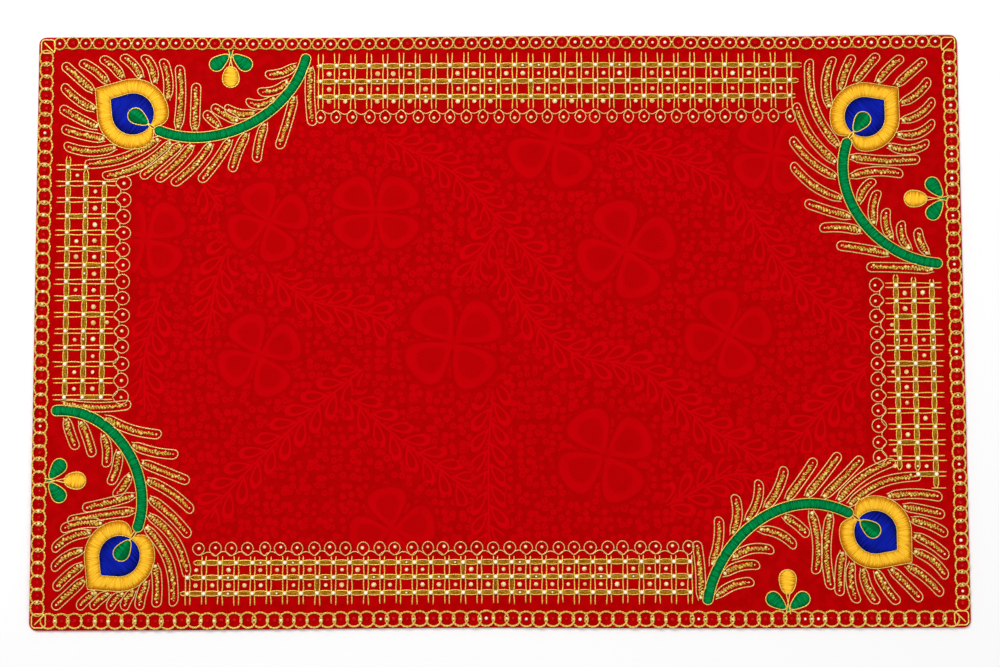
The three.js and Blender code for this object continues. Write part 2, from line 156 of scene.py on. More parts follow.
# Where the random draws of each kind of piece start, counted from the seed. The corners and the sides of the
# mat then count up from there.
SEEDS = {
    "eye_band": 0,
    "blue_heart": 10,
    "heart_leaf": 20,
    "green_stem": 30,
    "yellow_bud": 40,
    "green_leaf_first": 50,
    "green_leaf_second": 50,
    "bud_nub": 60,
    "barbs": 60,
    "lattice": 80,
    "lattice_beads": 100,
    "ring_chain": 120,
}

# The corner motifs, charted in each corner's own frame: u runs along one edge and v inward from it,
# both from the mat's corner, and the next corner is the same turned a quarter clockwise.
# eye: centre, radius, direction of its point and of its neck in degrees. stem: cubic curve from the eye to
# the border. bud: u of its axis, v of its foot, its yellow base and its tip.
# Barbs: at = place of the root, as degrees round the eye or as millimetres along the stem; long = length;
# lean = degrees off the outward radius at the eye, or off the stem's way back to the eye; bow = how far the
# middle stands off the straight line, to the left of the way out.
CORNERS = [
    {
        "name": "far_left", "at": (-1, 1), "along": (1, 0), "inward": (0, -1),
        "eye": {"u": 63.3, "v": 52, "radius": 23, "point": 214, "neck": 34},
        "stem": [(78, 62), (116, 80), (170, 54), (178, 12)],
        "bud": {"u": 127.8, "foot": 12.5, "base": 20.5, "tip": 34},
        "fan": {
            "at": [115, 137, 158, 186, 210, 231, 254, 284, 305, 338],
            "long": [35, 30, 29, 28, 28, 24, 21, 21, 21, 28],
            "lean": [67, 57, 50, 31, 12, -13, -30, -56, -57, -75],
            "bow": [-3.5, -1, -0.5, -1.5, 0, 1.5, 1.5, 1.5, 2.5, 2],
        },
        "outer": {
            "at": [5, 13, 19, 26, 38, 50, 61, 74, 99, 120],
            "long": [52, 51, 35, 34, 38, 35, 28, 27, 37, 40],
            "lean": [40, 40, 48, 47, 39, 38, 44, 44, 21, 20],
            "bow": [-4.5, -5, 0, -1.5, -2, -1, 1, 1, -0.5, 1],
        },
        "inner": {
            "at": [15, 27, 45, 59, 72, 90, 105, 118],
            "long": [43, 32, 15, 21, 21, 20, 22, 22],
            "lean": [80, 91, 59, 53, 43, 37, 38, 52],
            "bow": [1.5, 0, 0, -0.5, -2.5, -3.5, -3, -2],
        },
    },
    {
        "name": "far_right", "at": (1, 1), "along": (0, -1), "inward": (-1, 0),
        "eye": {"u": 55.4, "v": 62.8, "radius": 22.5, "point": 229, "neck": 37},
        "stem": [(70, 74), (109, 90), (152, 54), (153, 14)],
        "bud": {"u": 110, "foot": 13, "base": 23, "tip": 37.5},
        "fan": {
            "at": [104, 137, 165, 200, 225, 250, 277, 300, 323],
            "long": [35, 26, 25, 25, 27, 26, 27, 27, 28],
            "lean": [81, 64, 55, 25, 4, -20, -40, -49, -57],
            "bow": [-3.5, -1, -0.5, -1, 0, 2, 3, 4, 4],
        },
        "outer": {
            "at": [7, 17, 26, 40, 52, 63, 85, 114],
            "long": [62, 48, 40, 41, 32, 28, 35, 44],
            "lean": [32, 37, 42, 34, 41, 45, 22, 4],
            "bow": [-7, -4, -3, -3.5, -0.5, 1.5, 0.5, 0.5],
        },
        "inner": {
            "at": [12, 26, 46, 65, 81, 96, 109],
            "long": [46, 35, 19, 23, 21, 20, 19],
            "lean": [83, 94, 61, 50, 47, 51, 59],
            "bow": [1.5, -2.5, -2, -2, -2, -2.5, -1.5],
        },
    },
    {
        "name": "near_right", "at": (1, -1), "along": (-1, 0), "inward": (0, 1),
        "eye": {"u": 61.2, "v": 61.8, "radius": 23, "point": 220, "neck": 37},
        "stem": [(76, 73), (119, 97), (165, 58), (171, 16)],
        "bud": {"u": 118.7, "foot": 13, "base": 22.5, "tip": 37.5},
        "fan": {
            "at": [109, 137, 160, 184, 206, 227, 249, 271, 291, 310, 331],
            "long": [36, 28, 26, 27, 28, 30, 29, 26, 25, 27, 29],
            "lean": [72, 55, 43, 29, 13, -7, -23, -35, -43, -47, -56],
            "bow": [-2, -0.5, -1.5, -1.5, -2.5, -1.5, -0.5, 1, 2, 2.5, 1],
        },
        "outer": {
            "at": [5, 12, 21, 31, 43, 57, 71, 83, 106, 128],
            "long": [51, 46, 37, 36, 33, 30, 28, 26, 32, 38],
            "lean": [46, 52, 53, 49, 39, 36, 33, 38, 17, 13],
            "bow": [-5.5, -3.5, 0.5, 0.5, 0.5, 2, 3, 2.5, 2, 1],
        },
        "inner": {
            "at": [14, 28, 48, 68, 95, 108, 124],
            "long": [49, 41, 21, 27, 28, 25, 27],
            "lean": [75, 86, 59, 62, 46, 51, 56],
            "bow": [3, -2.5, -1, -3, -3.5, -2.5, -2.5],
        },
    },
    {
        "name": "near_left", "at": (-1, -1), "along": (0, 1), "inward": (1, 0),
        "eye": {"u": 48, "v": 58.4, "radius": 22.3, "point": 224, "neck": 33},
        "stem": [(64, 69), (99, 83), (147, 53), (142, 13)],
        "bud": {"u": 96.8, "foot": 12.5, "base": 22, "tip": 35.5},
        "fan": {
            "at": [102, 130, 155, 172, 194, 211, 237, 258, 280, 310, 333],
            "long": [28, 20, 15, 15, 16, 17, 28, 25, 24, 28, 28],
            "lean": [76, 65, 54, 50, 36, 19, -10, -29, -42, -64, -71],
            "bow": [-1, 1, 1, 1.5, 1, 1, 0, 1, 2, 3, 2],
        },
        "outer": {
            "at": [5, 12, 22, 33, 44, 56, 80, 107],
            "long": [55, 48, 37, 37, 34, 31, 39, 45],
            "lean": [36, 41, 44, 42, 45, 44, 16, 0],
            "bow": [-6.5, -5.5, -1.5, -2, 0, 1.5, 2.5, 2],
        },
        "inner": {
            "at": [13, 24, 39, 58, 74, 93, 104],
            "long": [44, 35, 18, 23, 22, 25, 22],
            "lean": [75, 81, 54, 49, 45, 52, 66],
            "bow": [0.5, -0.5, -0.5, -1.5, -1.5, -0.5, 0.5],
        },
    },
]

# The lattices. rails, from the outer one inwards: distance from the mat's centre line and the two ends along
# the side. cross: first and last pair of cross cords and how many there are. ends: where the cross cords
# stop, outer and inner. loops: the centre line of the row of loops, and half a loop along and across the
# side. loop_row: first and last loop and how many there are. filled: the share of cells whose cross cords
# hold bullion. spangles: the share of cells that hold one, from the outer row of cells inwards. foot: a
# short cord across the end of the outer rail, as its place along the side and its two ends.
LATTICES = [
    {
        "name": "far", "along_x": True, "cross": (-117.7, 192.7, 30), "ends": (183.4, 146.0),
        "loops": (140.8, 3.4, 4.3), "loop_row": (-117.7, 192.7, 30), "filled": 0.04,
        "spangles": (0.8, 0.8, 0.8),
        "rails": [(175, -120.2, 202.1), (164.4, -120.2, 199), (153.9, -120.2, 197.5)],
    },
    {
        "name": "near", "along_x": True, "cross": (-202.2, 123.1, 32), "ends": (-178.7, -147.5),
        "loops": (-142.7, 3.8, 4.2), "loop_row": (-195, 122.5, 31), "filled": 0.15,
        "spangles": (0.8, 0.75, 0.0),
        "rails": [(-171.3, -207, 124.8), (-161, -200.4, 124.8), (-151.5, -198.5, 124.8)],
    },
    {
        "name": "left", "along_x": False, "cross": (-44.1, 107.5, 15), "ends": (-291.5, -252.4),
        "loops": (-247.3, 4.6, 4.9), "loop_row": (-44.1, 96.7, 14), "filled": 0.35,
        "spangles": (0.4, 0.9, 0.1),
        "rails": [(-283.8, -43.9, 115), (-272, -44.9, 106.1), (-259.8, -44.9, 98)],
    },
    {
        "name": "right", "along_x": False, "cross": (-95.7, 27.7, 13), "ends": (290.8, 253.6),
        "loops": (247.8, 4.3, 4.6), "loop_row": (-85.4, 27.7, 12), "filled": 0.35,
        "spangles": (0.5, 0.85, 0.15), "foot": (-104.8, 281.0, 290.2),
        "rails": [(284, -104.9, 32.3), (272.1, -93.6, 33.5), (260.4, -93, 35)],
    },
]
RAIL = {
    "pinch": 0.95, "bulge": 1.55, "tip": 2.4, "step": 1.1, "cord": 0.75, "lift": 0.5,
    "core": 0.42, "core_cord": 0.85, "core_lift": 0.75,
}
CROSS = {
    "half": 1.5, "pinch": 0.3, "cord": 0.85, "lift": 0.42, "rise": 0.75, "reach": 2.1, "overhang": 1.8,
    "points": 34, "waver": 0.12, "waver_length": 2.2,
}
FILL = {"aside": 0.45, "points": 12, "lift": 0.62}
LOOP = {"cord": 0.66, "pinch": 0.28, "points": 26, "lift": 0.42, "rise": 0.2}
LINK = {"start": 1.0, "fall": 0.65, "reach": 0.9, "points": 12, "lift": 0.55}
RAIL_TOLERANCE = 2.3
RAIL_BEAD_SHARE = 0.15
LAST_ROW_STEP = 2.9
LOOP_BEAD_STEP = 0.8

# The ring chain. first, last: centres of the ring next to each corner. size: half the ring along and across
# the edge. cord: its thickness. pearls: the share of rings that hold a pearl.
# joint: size of the pale knot where two rings cross, partly the knot that holds them and partly a bead put
# there as a painted highlight where one ring passes over the other.
CHAIN = [
    {"name": "far", "first": (-290.5, 190.4), "last": (290.0, 190.0), "count": 69, "size": (4.0, 3.9),
     "cord": 1.2, "pearls": 0.8, "joint": 1.3},
    {"name": "near", "first": (-292.0, -188.6), "last": (291.8, -188.8), "count": 69, "size": (5.15, 4.85),
     "cord": 1.4, "pearls": 0.12, "joint": 2.0},
    {"name": "left", "first": (-299.3, 180.8), "last": (-299.5, -180.7), "count": 44, "size": (5.05, 4.4),
     "cord": 1.35, "pearls": 0.05, "joint": 1.9},
    {"name": "right", "first": (299.0, 180.1), "last": (299.4, -179.2), "count": 45, "size": (5.0, 4.3),
     "cord": 1.35, "pearls": 0.25, "joint": 1.8},
]
ROPE = {"turns": 8, "points": 40, "thin": 0.75, "ply": 0.56, "offset": 0.27, "lift": 0.72, "rise": 0.36}
CORNER_LOOP = {
    "cord": 0.9, "inset": 6.6, "half": 4.9, "bulge": 0.10, "lift": 0.6,
    "dash": (-6.2, 3.6, 9), "dash_lift": 1.1,
}
EDGE_THREAD = {"cord": 0.42, "tuck": 0.5, "scallop": 0.35, "points": 6, "lift": 0.45}

# The woven figure, charted: flowers with four petals (centre, turn in degrees, half length and half
# width) and leafy sprays (points on the stalk).
FLOWERS = [
    (-81, 77, 45, 32, 27), (37, 124, 30, 32, 32), (84, 52, 18, 33, 33), (150, -4, 15, 29, 29),
    (69, -83, 30, 32, 32), (-157, -17, 25, 28, 28), (-30, -9, 37, 34, 33), (-232, 60, 40, 28, 28),
    (181, 115, 35, 28, 28), (-70, -131, 10, 28, 28), (-152, 71, 20, 27, 27),
]
SPRAYS = [
    [(-64, 121), (-30, 103), (-4, 76), (14, 55), (38, 31)],
    [(-187, 85), (-160, 47), (-125, 20), (-92, 12), (-64, 0)],
    [(0, 68), (-14, 45), (-20, 24)],
    [(5, 36), (22, 6), (52, -18), (92, -27), (130, -60), (166, -84)],
    [(-4, -38), (-7, -80), (-7, -128)],
    [(-100, -35), (-130, -60), (-160, -88), (-184, -114)],
    [(-92, -50), (-60, -76), (-22, -104)],
    [(88, 119), (126, 108), (158, 88), (180, 50), (205, 22), (236, 0)],
    [(236, -30), (214, -52), (197, -70)],
    [(-226, 9), (-232, -18), (-232, -40)],
    [(-176, 62), (-186, 30), (-190, 4)],
    [(120, -110), (150, -96), (176, -98)],
]
SPRAY_REACH = 14.5
SPRAY_MARGIN = 14
SPRAY_STEP = 2.0
FLOWER_REACH = 1.2
FIELD_HALF = (240, 138)
LEAF = {"pitch": 13.4, "tilt": 37, "centre": (8.4, 6.3), "size": (9.2, 3.5), "stagger": 0.35}
PETAL = {"middle": 0.52, "half": 0.48, "widening": 0.55, "root": 0.10, "veins": 62}


def bump(distance, reach):
    return np.exp(-((distance / reach) ** 2))


def slack(x, dips):
    return sum(dip["depth"] * bump(x - dip["x"], dip["reach"]) for dip in dips)


def settle(x, y):
    """Where the cloth has a point of the ideal rectangle: the long edges wander in a little."""
    share = np.clip(1 - (MAT_WIDTH / 2 - np.abs(y)) / EDGE_SLACK_REACH, 0, None)
    shift = share * np.where(y > 0, slack(x, SLACK_FAR), slack(x, SLACK_NEAR))
    return y - np.sign(y) * shift


def edge_inset(x, y):
    """Distance from the nearest edge of the ideal rectangle."""
    return np.minimum(MAT_LENGTH / 2 - np.abs(x), MAT_WIDTH / 2 - np.abs(y))


def hem_fall(inset, roll):
    """How far the upper face falls away at the rolled hem, at a distance from the edge."""
    share = np.clip(1 - inset / roll, 0, 1)
    return CLOTH_THICK / 2 * (1 - np.sqrt(1 - share**2))


def cloth_top(x, y):
    """Height of the cloth's upper face inside the hem."""
    ripple = RIPPLE["height"] * np.sin(x / RIPPLE["length_x"]) * np.cos(y / RIPPLE["length_y"])
    return CLOTH_THICK + ripple - FOLD["depth"] * bump(x - FOLD["x"], FOLD["half_width"])


def surface(x, y):
    """Height of the cloth's upper face, hem and all."""
    return cloth_top(x, y) - hem_fall(np.maximum(edge_inset(x, y), 0), HEM_ROLL)


def laid(x, y, lift):
    """Points that lie on the cloth, raised by lift."""
    x, y = np.asarray(x, float), np.asarray(y, float)
    return np.column_stack([x, settle(x, y), surface(x, y) + lift])


def to_mat(corner, u, v):
    """From a corner's own frame to the mat's."""
    sign_x, sign_y = corner["at"]
    along, inward = corner["along"], corner["inward"]
    x = sign_x * MAT_LENGTH / 2 + u * along[0] + v * inward[0]
    y = sign_y * MAT_WIDTH / 2 + u * along[1] + v * inward[1]
    return x, y


def polar(centre, degrees, radius):
    angle = np.radians(degrees)
    return centre[0] + radius * np.cos(angle), centre[1] + radius * np.sin(angle)


# Flat lines.

CURVE_POINTS = 400
SMOOTH_POINTS = 40


def run_along(line):
    """Distance along a line at each of its points."""
    return np.concatenate([[0], np.cumsum(np.hypot(*np.diff(line, axis=0).T))])


def points_at(line, run, at):
    """Points of a line at distances along it."""
    return np.column_stack([np.interp(at, run, line[:, 0]), np.interp(at, run, line[:, 1])])


def unit(vectors):
    return vectors / np.hypot(*vectors.T)[:, None]


def left_of(vectors):
    """Each vector turned a quarter to the left."""
    return np.column_stack([-vectors[:, 1], vectors[:, 0]])


def bezier(points, count):
    """Points at even steps along a cubic curve, with the unit tangent at each and the curve's length."""
    p0, p1, p2, p3 = (np.array(p, float) for p in points)
    t = np.linspace(0, 1, CURVE_POINTS)[:, None]
    line = (1 - t) ** 3 * p0 + 3 * (1 - t) ** 2 * t * p1 + 3 * (1 - t) * t**2 * p2 + t**3 * p3
    run = run_along(line)
    points = points_at(line, run, np.linspace(0, run[-1], count))
    return points, unit(np.gradient(points, axis=0)), run[-1]


def stem_length(corner):
    return bezier(corner["stem"], 2)[2]


def smooth_line(points, step):
    """A smooth line through a few points, at even steps, and the run at each."""
    points = np.array(points, float)
    padded = np.vstack([2 * points[0] - points[1], points, 2 * points[-1] - points[-2]])
    t = np.linspace(0, 1, SMOOTH_POINTS, endpoint=False)[:, None]
    parts = []
    for a, b, c, d in zip(padded, padded[1:], padded[2:], padded[3:]):
        square, cube = 2 * a - 5 * b + 4 * c - d, 3 * b - a - 3 * c + d
        parts.append(0.5 * (2 * b + (c - a) * t + square * t**2 + cube * t**3))
    line = np.vstack([*parts, points[-1:]])
    run = run_along(line)
    at = np.arange(0, run[-1], step)
    return points_at(line, run, at), at


# Outlines of the satin motifs.


def teardrop_radius(off_point, radius, point):
    """Radius of a circle with two straight flanks that meet at point times the radius."""
    shoulder = math.acos(1 / point)
    return radius / np.cos(np.clip(shoulder - np.abs(off_point), 0, None))


def teardrop_half(a, radius, point):
    """Half the width of that teardrop at a distance along its axis."""
    round_part = np.sqrt(np.clip(radius**2 - a**2, 0, None))
    flank = (point * radius - a) / math.sqrt(point**2 - 1)
    return np.where(a < radius / point, round_part, flank)


def off_degrees(angle, centre):
    return (np.asarray(angle, float) - centre + 180) % 360 - 180


def eye_centre(corner):
    return corner["eye"]["u"], corner["eye"]["v"]


def eye_radius(eye, angle, grow):
    """The eye's outline at an angle, with the cleft that the stem's end sits in."""
    plain = teardrop_radius(np.radians(off_degrees(angle, eye["point"])), eye["radius"] + grow, EYE_POINT)
    return plain - CLEFT["depth"] * bump(off_degrees(angle, eye["neck"]), CLEFT["half_angle"])


def heart_radius(eye, angle):
    """The inner edge of the eye's yellow band at an angle."""
    off_point = np.radians(off_degrees(angle, eye["point"]))
    return teardrop_radius(off_point, eye["radius"] - EYE_BAND, EYE_POINT)


# Strands: a strand is its points, whether it closes on itself, and its girth at each point.


def strand(points, closed=False, girth=1.0):
    return points, closed, np.broadcast_to(np.asarray(girth, float), len(points))


def tapered(points, share=0.5, girth=1.0):
    """An open strand whose two ends are thinner."""
    girths = np.full(len(points), girth)
    girths[[0, -1]] *= share
    return strand(points, False, girths)


def laid_outline(corner, u, v, lift):
    return laid(*to_mat(corner, np.asarray(u), np.asarray(v)), lift)


def outline_strand(corner, line, kind, closed=True):
    """A cord of one of the kinds in OUTLINES."""
    cord = OUTLINES[kind]
    return strand(laid_outline(corner, *line, cord["lift"]), closed, cord["girth"])


def barb_roots(corner):
    """Root, direction, length and bow of every barb of a feather, in the corner's frame."""
    eye, fan = corner["eye"], corner["fan"]
    for angle, length, lean, bow in zip(fan["at"], fan["long"], fan["lean"], fan["bow"]):
        root = polar(eye_centre(corner), angle, eye_radius(eye, angle, CORD_BAND))
        heading = math.radians(angle + lean)
        yield root, (math.cos(heading), math.sin(heading)), length, bow
    count = 600
    points, tangents, total = bezier(corner["stem"], count)
    for side, way in (("outer", 1), ("inner", -1)):
        group = corner[side]
        offset = way * (STEM_HALF + CORD_BAND)
        for place, length, lean, bow in zip(group["at"], group["long"], group["lean"], group["bow"]):
            i = round(place / total * (count - 1))
            (px, py), (dx, dy) = points[i], tangents[i]
            heading = math.atan2(-dy, -dx) - way * math.radians(lean)
            yield (px - dy * offset, py + dx * offset), (math.cos(heading), math.sin(heading)), length, bow


def barb_line(barb, along, across):
    """Points of a barb, from distances along its bowed middle line and across it."""
    root, direction, length, bow = barb
    aside = bow * np.sin(np.pi * np.clip(along / length, 0, 1)) + across
    u = root[0] + direction[0] * along - direction[1] * aside
    v = root[1] + direction[1] * along + direction[0] * aside
    return u, v


def barb_outline(barb):
    straight = barb[2] - BARB_HALF
    along = np.arange(-BARB_SUNK, straight, BARB_STEP)
    half = BARB_HALF * (1 - BARB_ROOT["pinch"] * bump(along, BARB_ROOT["reach"]))
    turn = np.radians(np.linspace(90, -90, 7))
    tip_along = straight + BARB_HALF * np.cos(turn)
    tip_across = BARB_HALF * np.sin(turn)
    return barb_line(
        barb,
        np.concatenate([along, tip_along, along[::-1]]),
        np.concatenate([half, tip_across, -half[::-1]]),
    )


# Meshes and node trees.


def chance_for(kind, number):
    """The random draws for one kind of piece in one corner or on one side."""
    return np.random.default_rng(bpy.context.scene.seat_mat.seed + SEEDS[kind] + number)


def new_piece(name, mesh):
    piece = bpy.data.objects.new(name, mesh)
    bpy.context.scene.collection.objects.link(piece)
    return piece


def dress(piece, finish, *nodes):
    """The piece rides on the mat and stands for the solids that it replaces. finish is not used."""
    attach(piece, "root")
    if nodes:
        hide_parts(*nodes)
    return piece


class Reading:
    """A number that a node gives, so that node arithmetic reads as plain sums."""

    def __init__(self, tree, socket):
        self.tree = tree
        self.socket = socket

    def maths(self, operation, *others, clamp=False):
        values = dict(enumerate((self, *others)))
        node = add_node(self.tree, "ShaderNodeMath", values, operation=operation, use_clamp=clamp)
        return Reading(self.tree, node.outputs[0])

    def __add__(self, other):
        return self.maths("ADD", other)

    def __sub__(self, other):
        return self.maths("SUBTRACT", other)

    def __rsub__(self, other):
        return self.maths("MULTIPLY_ADD", -1.0, other)

    def __mul__(self, other):
        return self.maths("MULTIPLY", other)

    def __truediv__(self, other):
        return self.maths("DIVIDE", other)

    def __mod__(self, other):
        return self.maths("FLOORED_MODULO", other)

    def __pow__(self, other):
        return self.maths("POWER", other)

    def __abs__(self):
        return self.maths("ABSOLUTE")

    def sine(self):
        return self.maths("SINE")

    def above(self, limit):
        return self.maths("GREATER_THAN", limit)

    def larger(self, other):
        return self.maths("MAXIMUM", other)


def set_inputs(tree, node, inputs):
    """Links or sets inputs of a node."""
    for key, value in inputs.items():
        if isinstance(value, Reading):
            value = value.socket
        if isinstance(value, bpy.types.NodeSocket):
            tree.links.new(value, node.inputs[key])
        else:
            node.inputs[key].default_value = value


def add_node(tree, kind, inputs=None, **settings):
    node = tree.nodes.new(kind)
    for key, value in settings.items():
        setattr(node, key, value)
    set_inputs(tree, node, inputs or {})
    return node


def new_geometry_tree(name, sockets):
    tree = bpy.data.node_groups.new(name, "GeometryNodeTree")
    tree.is_modifier = True
    tree.interface.new_socket("Geometry", in_out="INPUT", socket_type="NodeSocketGeometry")
    for label, kind, value in sockets:
        socket = tree.interface.new_socket(label, in_out="INPUT", socket_type=kind)
        if value is not None:
            socket.default_value = value
    tree.interface.new_socket("Geometry", in_out="OUTPUT", socket_type="NodeSocketGeometry")
    return tree, tree.nodes.new("NodeGroupInput").outputs


def close_tree(tree, geometry, material):
    real = add_node(tree, "GeometryNodeRealizeInstances", {"Geometry": geometry})
    painted = add_node(tree, "GeometryNodeSetMaterial", {"Geometry": real.outputs[0], "Material": material})
    add_node(tree, "NodeGroupOutput", {0: painted.outputs[0]})


def named(tree, name):
    return add_node(tree, "GeometryNodeInputNamedAttribute", {"Name": name}, data_type="FLOAT").outputs[0]


def store(tree, geometry, name, value, kind="FLOAT", domain="POINT"):
    inputs = {"Geometry": geometry, "Name": name, "Value": value}
    node = add_node(tree, "GeometryNodeStoreNamedAttribute", inputs, data_type=kind, domain=domain)
    return node.outputs[0]


def cord_tree(name):
    """Turns chains of edges into round cords. A UV map holds the run along a cord and the turn round it."""
    tree, given = new_geometry_tree(name, [
        ("Thickness", "NodeSocketFloat", 0.001),
        ("Sides", "NodeSocketInt", 6),
        ("Thread", "NodeSocketMaterial", None),
    ])
    lines = add_node(tree, "GeometryNodeMeshToCurve", {"Mesh": given["Geometry"]}).outputs[0]
    place = tree.nodes.new("GeometryNodeSplineParameter").outputs
    lines = store(tree, lines, "run", place["Length"])
    lines = add_node(tree, "GeometryNodeSetCurveNormal", {"Curve": lines}, mode="Z_UP").outputs[0]
    ring = add_node(tree, "GeometryNodeCurvePrimitiveCircle", {
        "Resolution": given["Sides"], "Radius": Reading(tree, given["Thickness"]) * 0.5,
    }).outputs[0]
    ring = store(tree, ring, "around", place["Factor"])
    tube = add_node(tree, "GeometryNodeCurveToMesh", {
        "Curve": lines, "Profile Curve": ring, "Scale": named(tree, "girth"), "Fill Caps": True,
    }).outputs[0]
    where = add_node(tree, "ShaderNodeCombineXYZ", {"X": named(tree, "run"), "Y": named(tree, "around")})
    tube = store(tree, tube, "thread", where.outputs[0], "FLOAT2", "CORNER")
    smooth = add_node(tree, "GeometryNodeSetShadeSmooth", {"Geometry": tube}).outputs[0]
    close_tree(tree, smooth, given["Thread"])
    return tree


def round_bead(tree, radius):
    inputs = {"Segments": 8, "Rings": 6, "Radius": radius}
    bead = add_node(tree, "GeometryNodeMeshUVSphere", inputs)
    return add_node(tree, "GeometryNodeSetShadeSmooth", {"Geometry": bead.outputs["Mesh"]}).outputs[0]


def faceted_bead(tree, radius):
    inputs = {
        "Vertices": 6, "Side Segments": 1, "Radius Bottom": radius, "Radius Top": radius * 0.4,
        "Depth": radius * 0.6,
    }
    return add_node(tree, "GeometryNodeMeshCone", inputs).outputs["Mesh"]


def bead_tree(name, make_bead):
    """Puts one bead on every point, turned at random and sized by the point's own size."""
    tree, given = new_geometry_tree(name, [
        ("Diameter", "NodeSocketFloat", 0.002),
        ("Flatness", "NodeSocketFloat", ROUND_FLATNESS),
        ("Seed", "NodeSocketInt", 1),
        ("Thread", "NodeSocketMaterial", None),
    ])
    bead = make_bead(tree, Reading(tree, given["Diameter"]) * 0.5)
    squash = add_node(tree, "ShaderNodeCombineXYZ", {"X": 1.0, "Y": 1.0, "Z": given["Flatness"]}).outputs[0]
    bead = add_node(tree, "GeometryNodeTransform", {"Geometry": bead, "Scale": squash}).outputs[0]
    turn = add_node(tree, "FunctionNodeRandomValue", {
        "Seed": given["Seed"], 0: (-0.25, -0.25, -0.35), 1: (0.25, 0.25, 0.35),
    }, data_type="FLOAT_VECTOR").outputs[0]
    set_on = add_node(tree, "GeometryNodeInstanceOnPoints", {
        "Points": given["Geometry"], "Instance": bead,
        "Rotation": add_node(tree, "FunctionNodeEulerToRotation", {"Euler": turn}).outputs[0],
        "Scale": named(tree, "size"),
    }).outputs[0]
    close_tree(tree, set_on, given["Thread"])
    return tree


def realise(host, tree, values):
    """Runs a tree on a host and leaves its result as the host's own plain mesh."""
    modifier = host.modifiers.new(tree.name, "NODES")
    modifier.node_group = tree
    for label, value in values.items():
        modifier[tree.interface.items_tree[label].identifier] = value
    graph = bpy.context.evaluated_depsgraph_get()
    mesh = bpy.data.meshes.new_from_object(host.evaluated_get(graph), depsgraph=graph)
    host.modifiers.remove(modifier)
    bare = host.data
    host.data = mesh
    bpy.data.meshes.remove(bare)
    mesh.name = host.name
    for name in ("girth", "run", "around", "size"):
        if name in mesh.attributes:
            mesh.attributes.remove(mesh.attributes[name])
    return host


def tree_called(name, make, *details):
    return bpy.data.node_groups.get(name) or make(name, *details)


def new_host(name, points, edges, attribute, values):
    """An object of bare points and edges, with a number at each point for a tree to read."""
    mesh = bpy.data.meshes.new(name)
    mesh.from_pydata((np.asarray(points) * MM).tolist(), edges, [])
    layer = mesh.attributes.new(attribute, "FLOAT", "POINT")
    layer.data.foreach_set("value", np.asarray(values, np.float32))
    return new_piece(name, mesh)


def cord_piece(name, strands, thickness, finish, *nodes, sides=5):
    """Gold cords of one thickness, laid along strands, as one piece."""
    points = np.vstack([line for line, closed, girth in strands])
    girths = np.concatenate([girth for line, closed, girth in strands])
    edges = []
    first = 0
    for line, closed, girth in strands:
        ids = np.arange(first, first + len(line))
        edges.append(np.column_stack([ids[:-1], ids[1:]]))
        if closed:
            edges.append([[ids[-1], ids[0]]])
        first += len(line)
    host = new_host(name, points, np.vstack(edges).tolist(), "girth", girths)
    values = {"Thickness": thickness * MM, "Sides": sides, "Thread": finish_called(finish)}
    return dress(realise(host, tree_called("Laid Cord", cord_tree), values), finish, *nodes)


def bead_piece(owner, kind, points, chance, diameter=None, seed=1):
    """Beads of one of the kinds in BEADS, one on each point, as one piece."""
    bead = BEADS[kind]
    sizes = chance.uniform(*bead["sizes"], len(points))
    host = new_host(f"{owner}_{kind}", points, [], "size", sizes)
    if kind in FACETED:
        tree = tree_called("Faceted Spangles", bead_tree, faceted_bead)
    else:
        tree = tree_called("Sewn Pearls", bead_tree, round_bead)
    values = {
        "Diameter": (diameter or bead["diameter"]) * MM,
        "Flatness": bead.get("flatness", ROUND_FLATNESS),
        "Seed": seed,
        "Thread": finish_called(bead["finish"]),
    }
    return dress(realise(host, tree, values), bead["finish"])


# Where the points of a satin row lie across it, and how high: a low wall, then a rounded crown.
ROW_ACROSS = np.array([0, 0, 0.035, 0.1, 0.2, 0.34, 0.5, 0.66, 0.8, 0.9, 0.965, 1, 1])
ROW_CROWN = np.concatenate([[-1], np.clip(1 - np.abs(2 * ROW_ACROSS[1:-1] - 1) ** 2.6, 0, 1) ** 0.6, [-1]])


def satin_faces(count):
    """Faces of a tube whose rings are the rows, closed at the first and the last."""
    grid = np.arange(count * len(ROW_ACROSS)).reshape(count, -1)
    here, there = grid[:-1], grid[1:]
    quads = np.stack([here, np.roll(here, -1, axis=1), np.roll(there, -1, axis=1), there], axis=-1)
    return quads.reshape(-1, 4).tolist() + [grid[0][::-1].tolist(), grid[-1].tolist()]


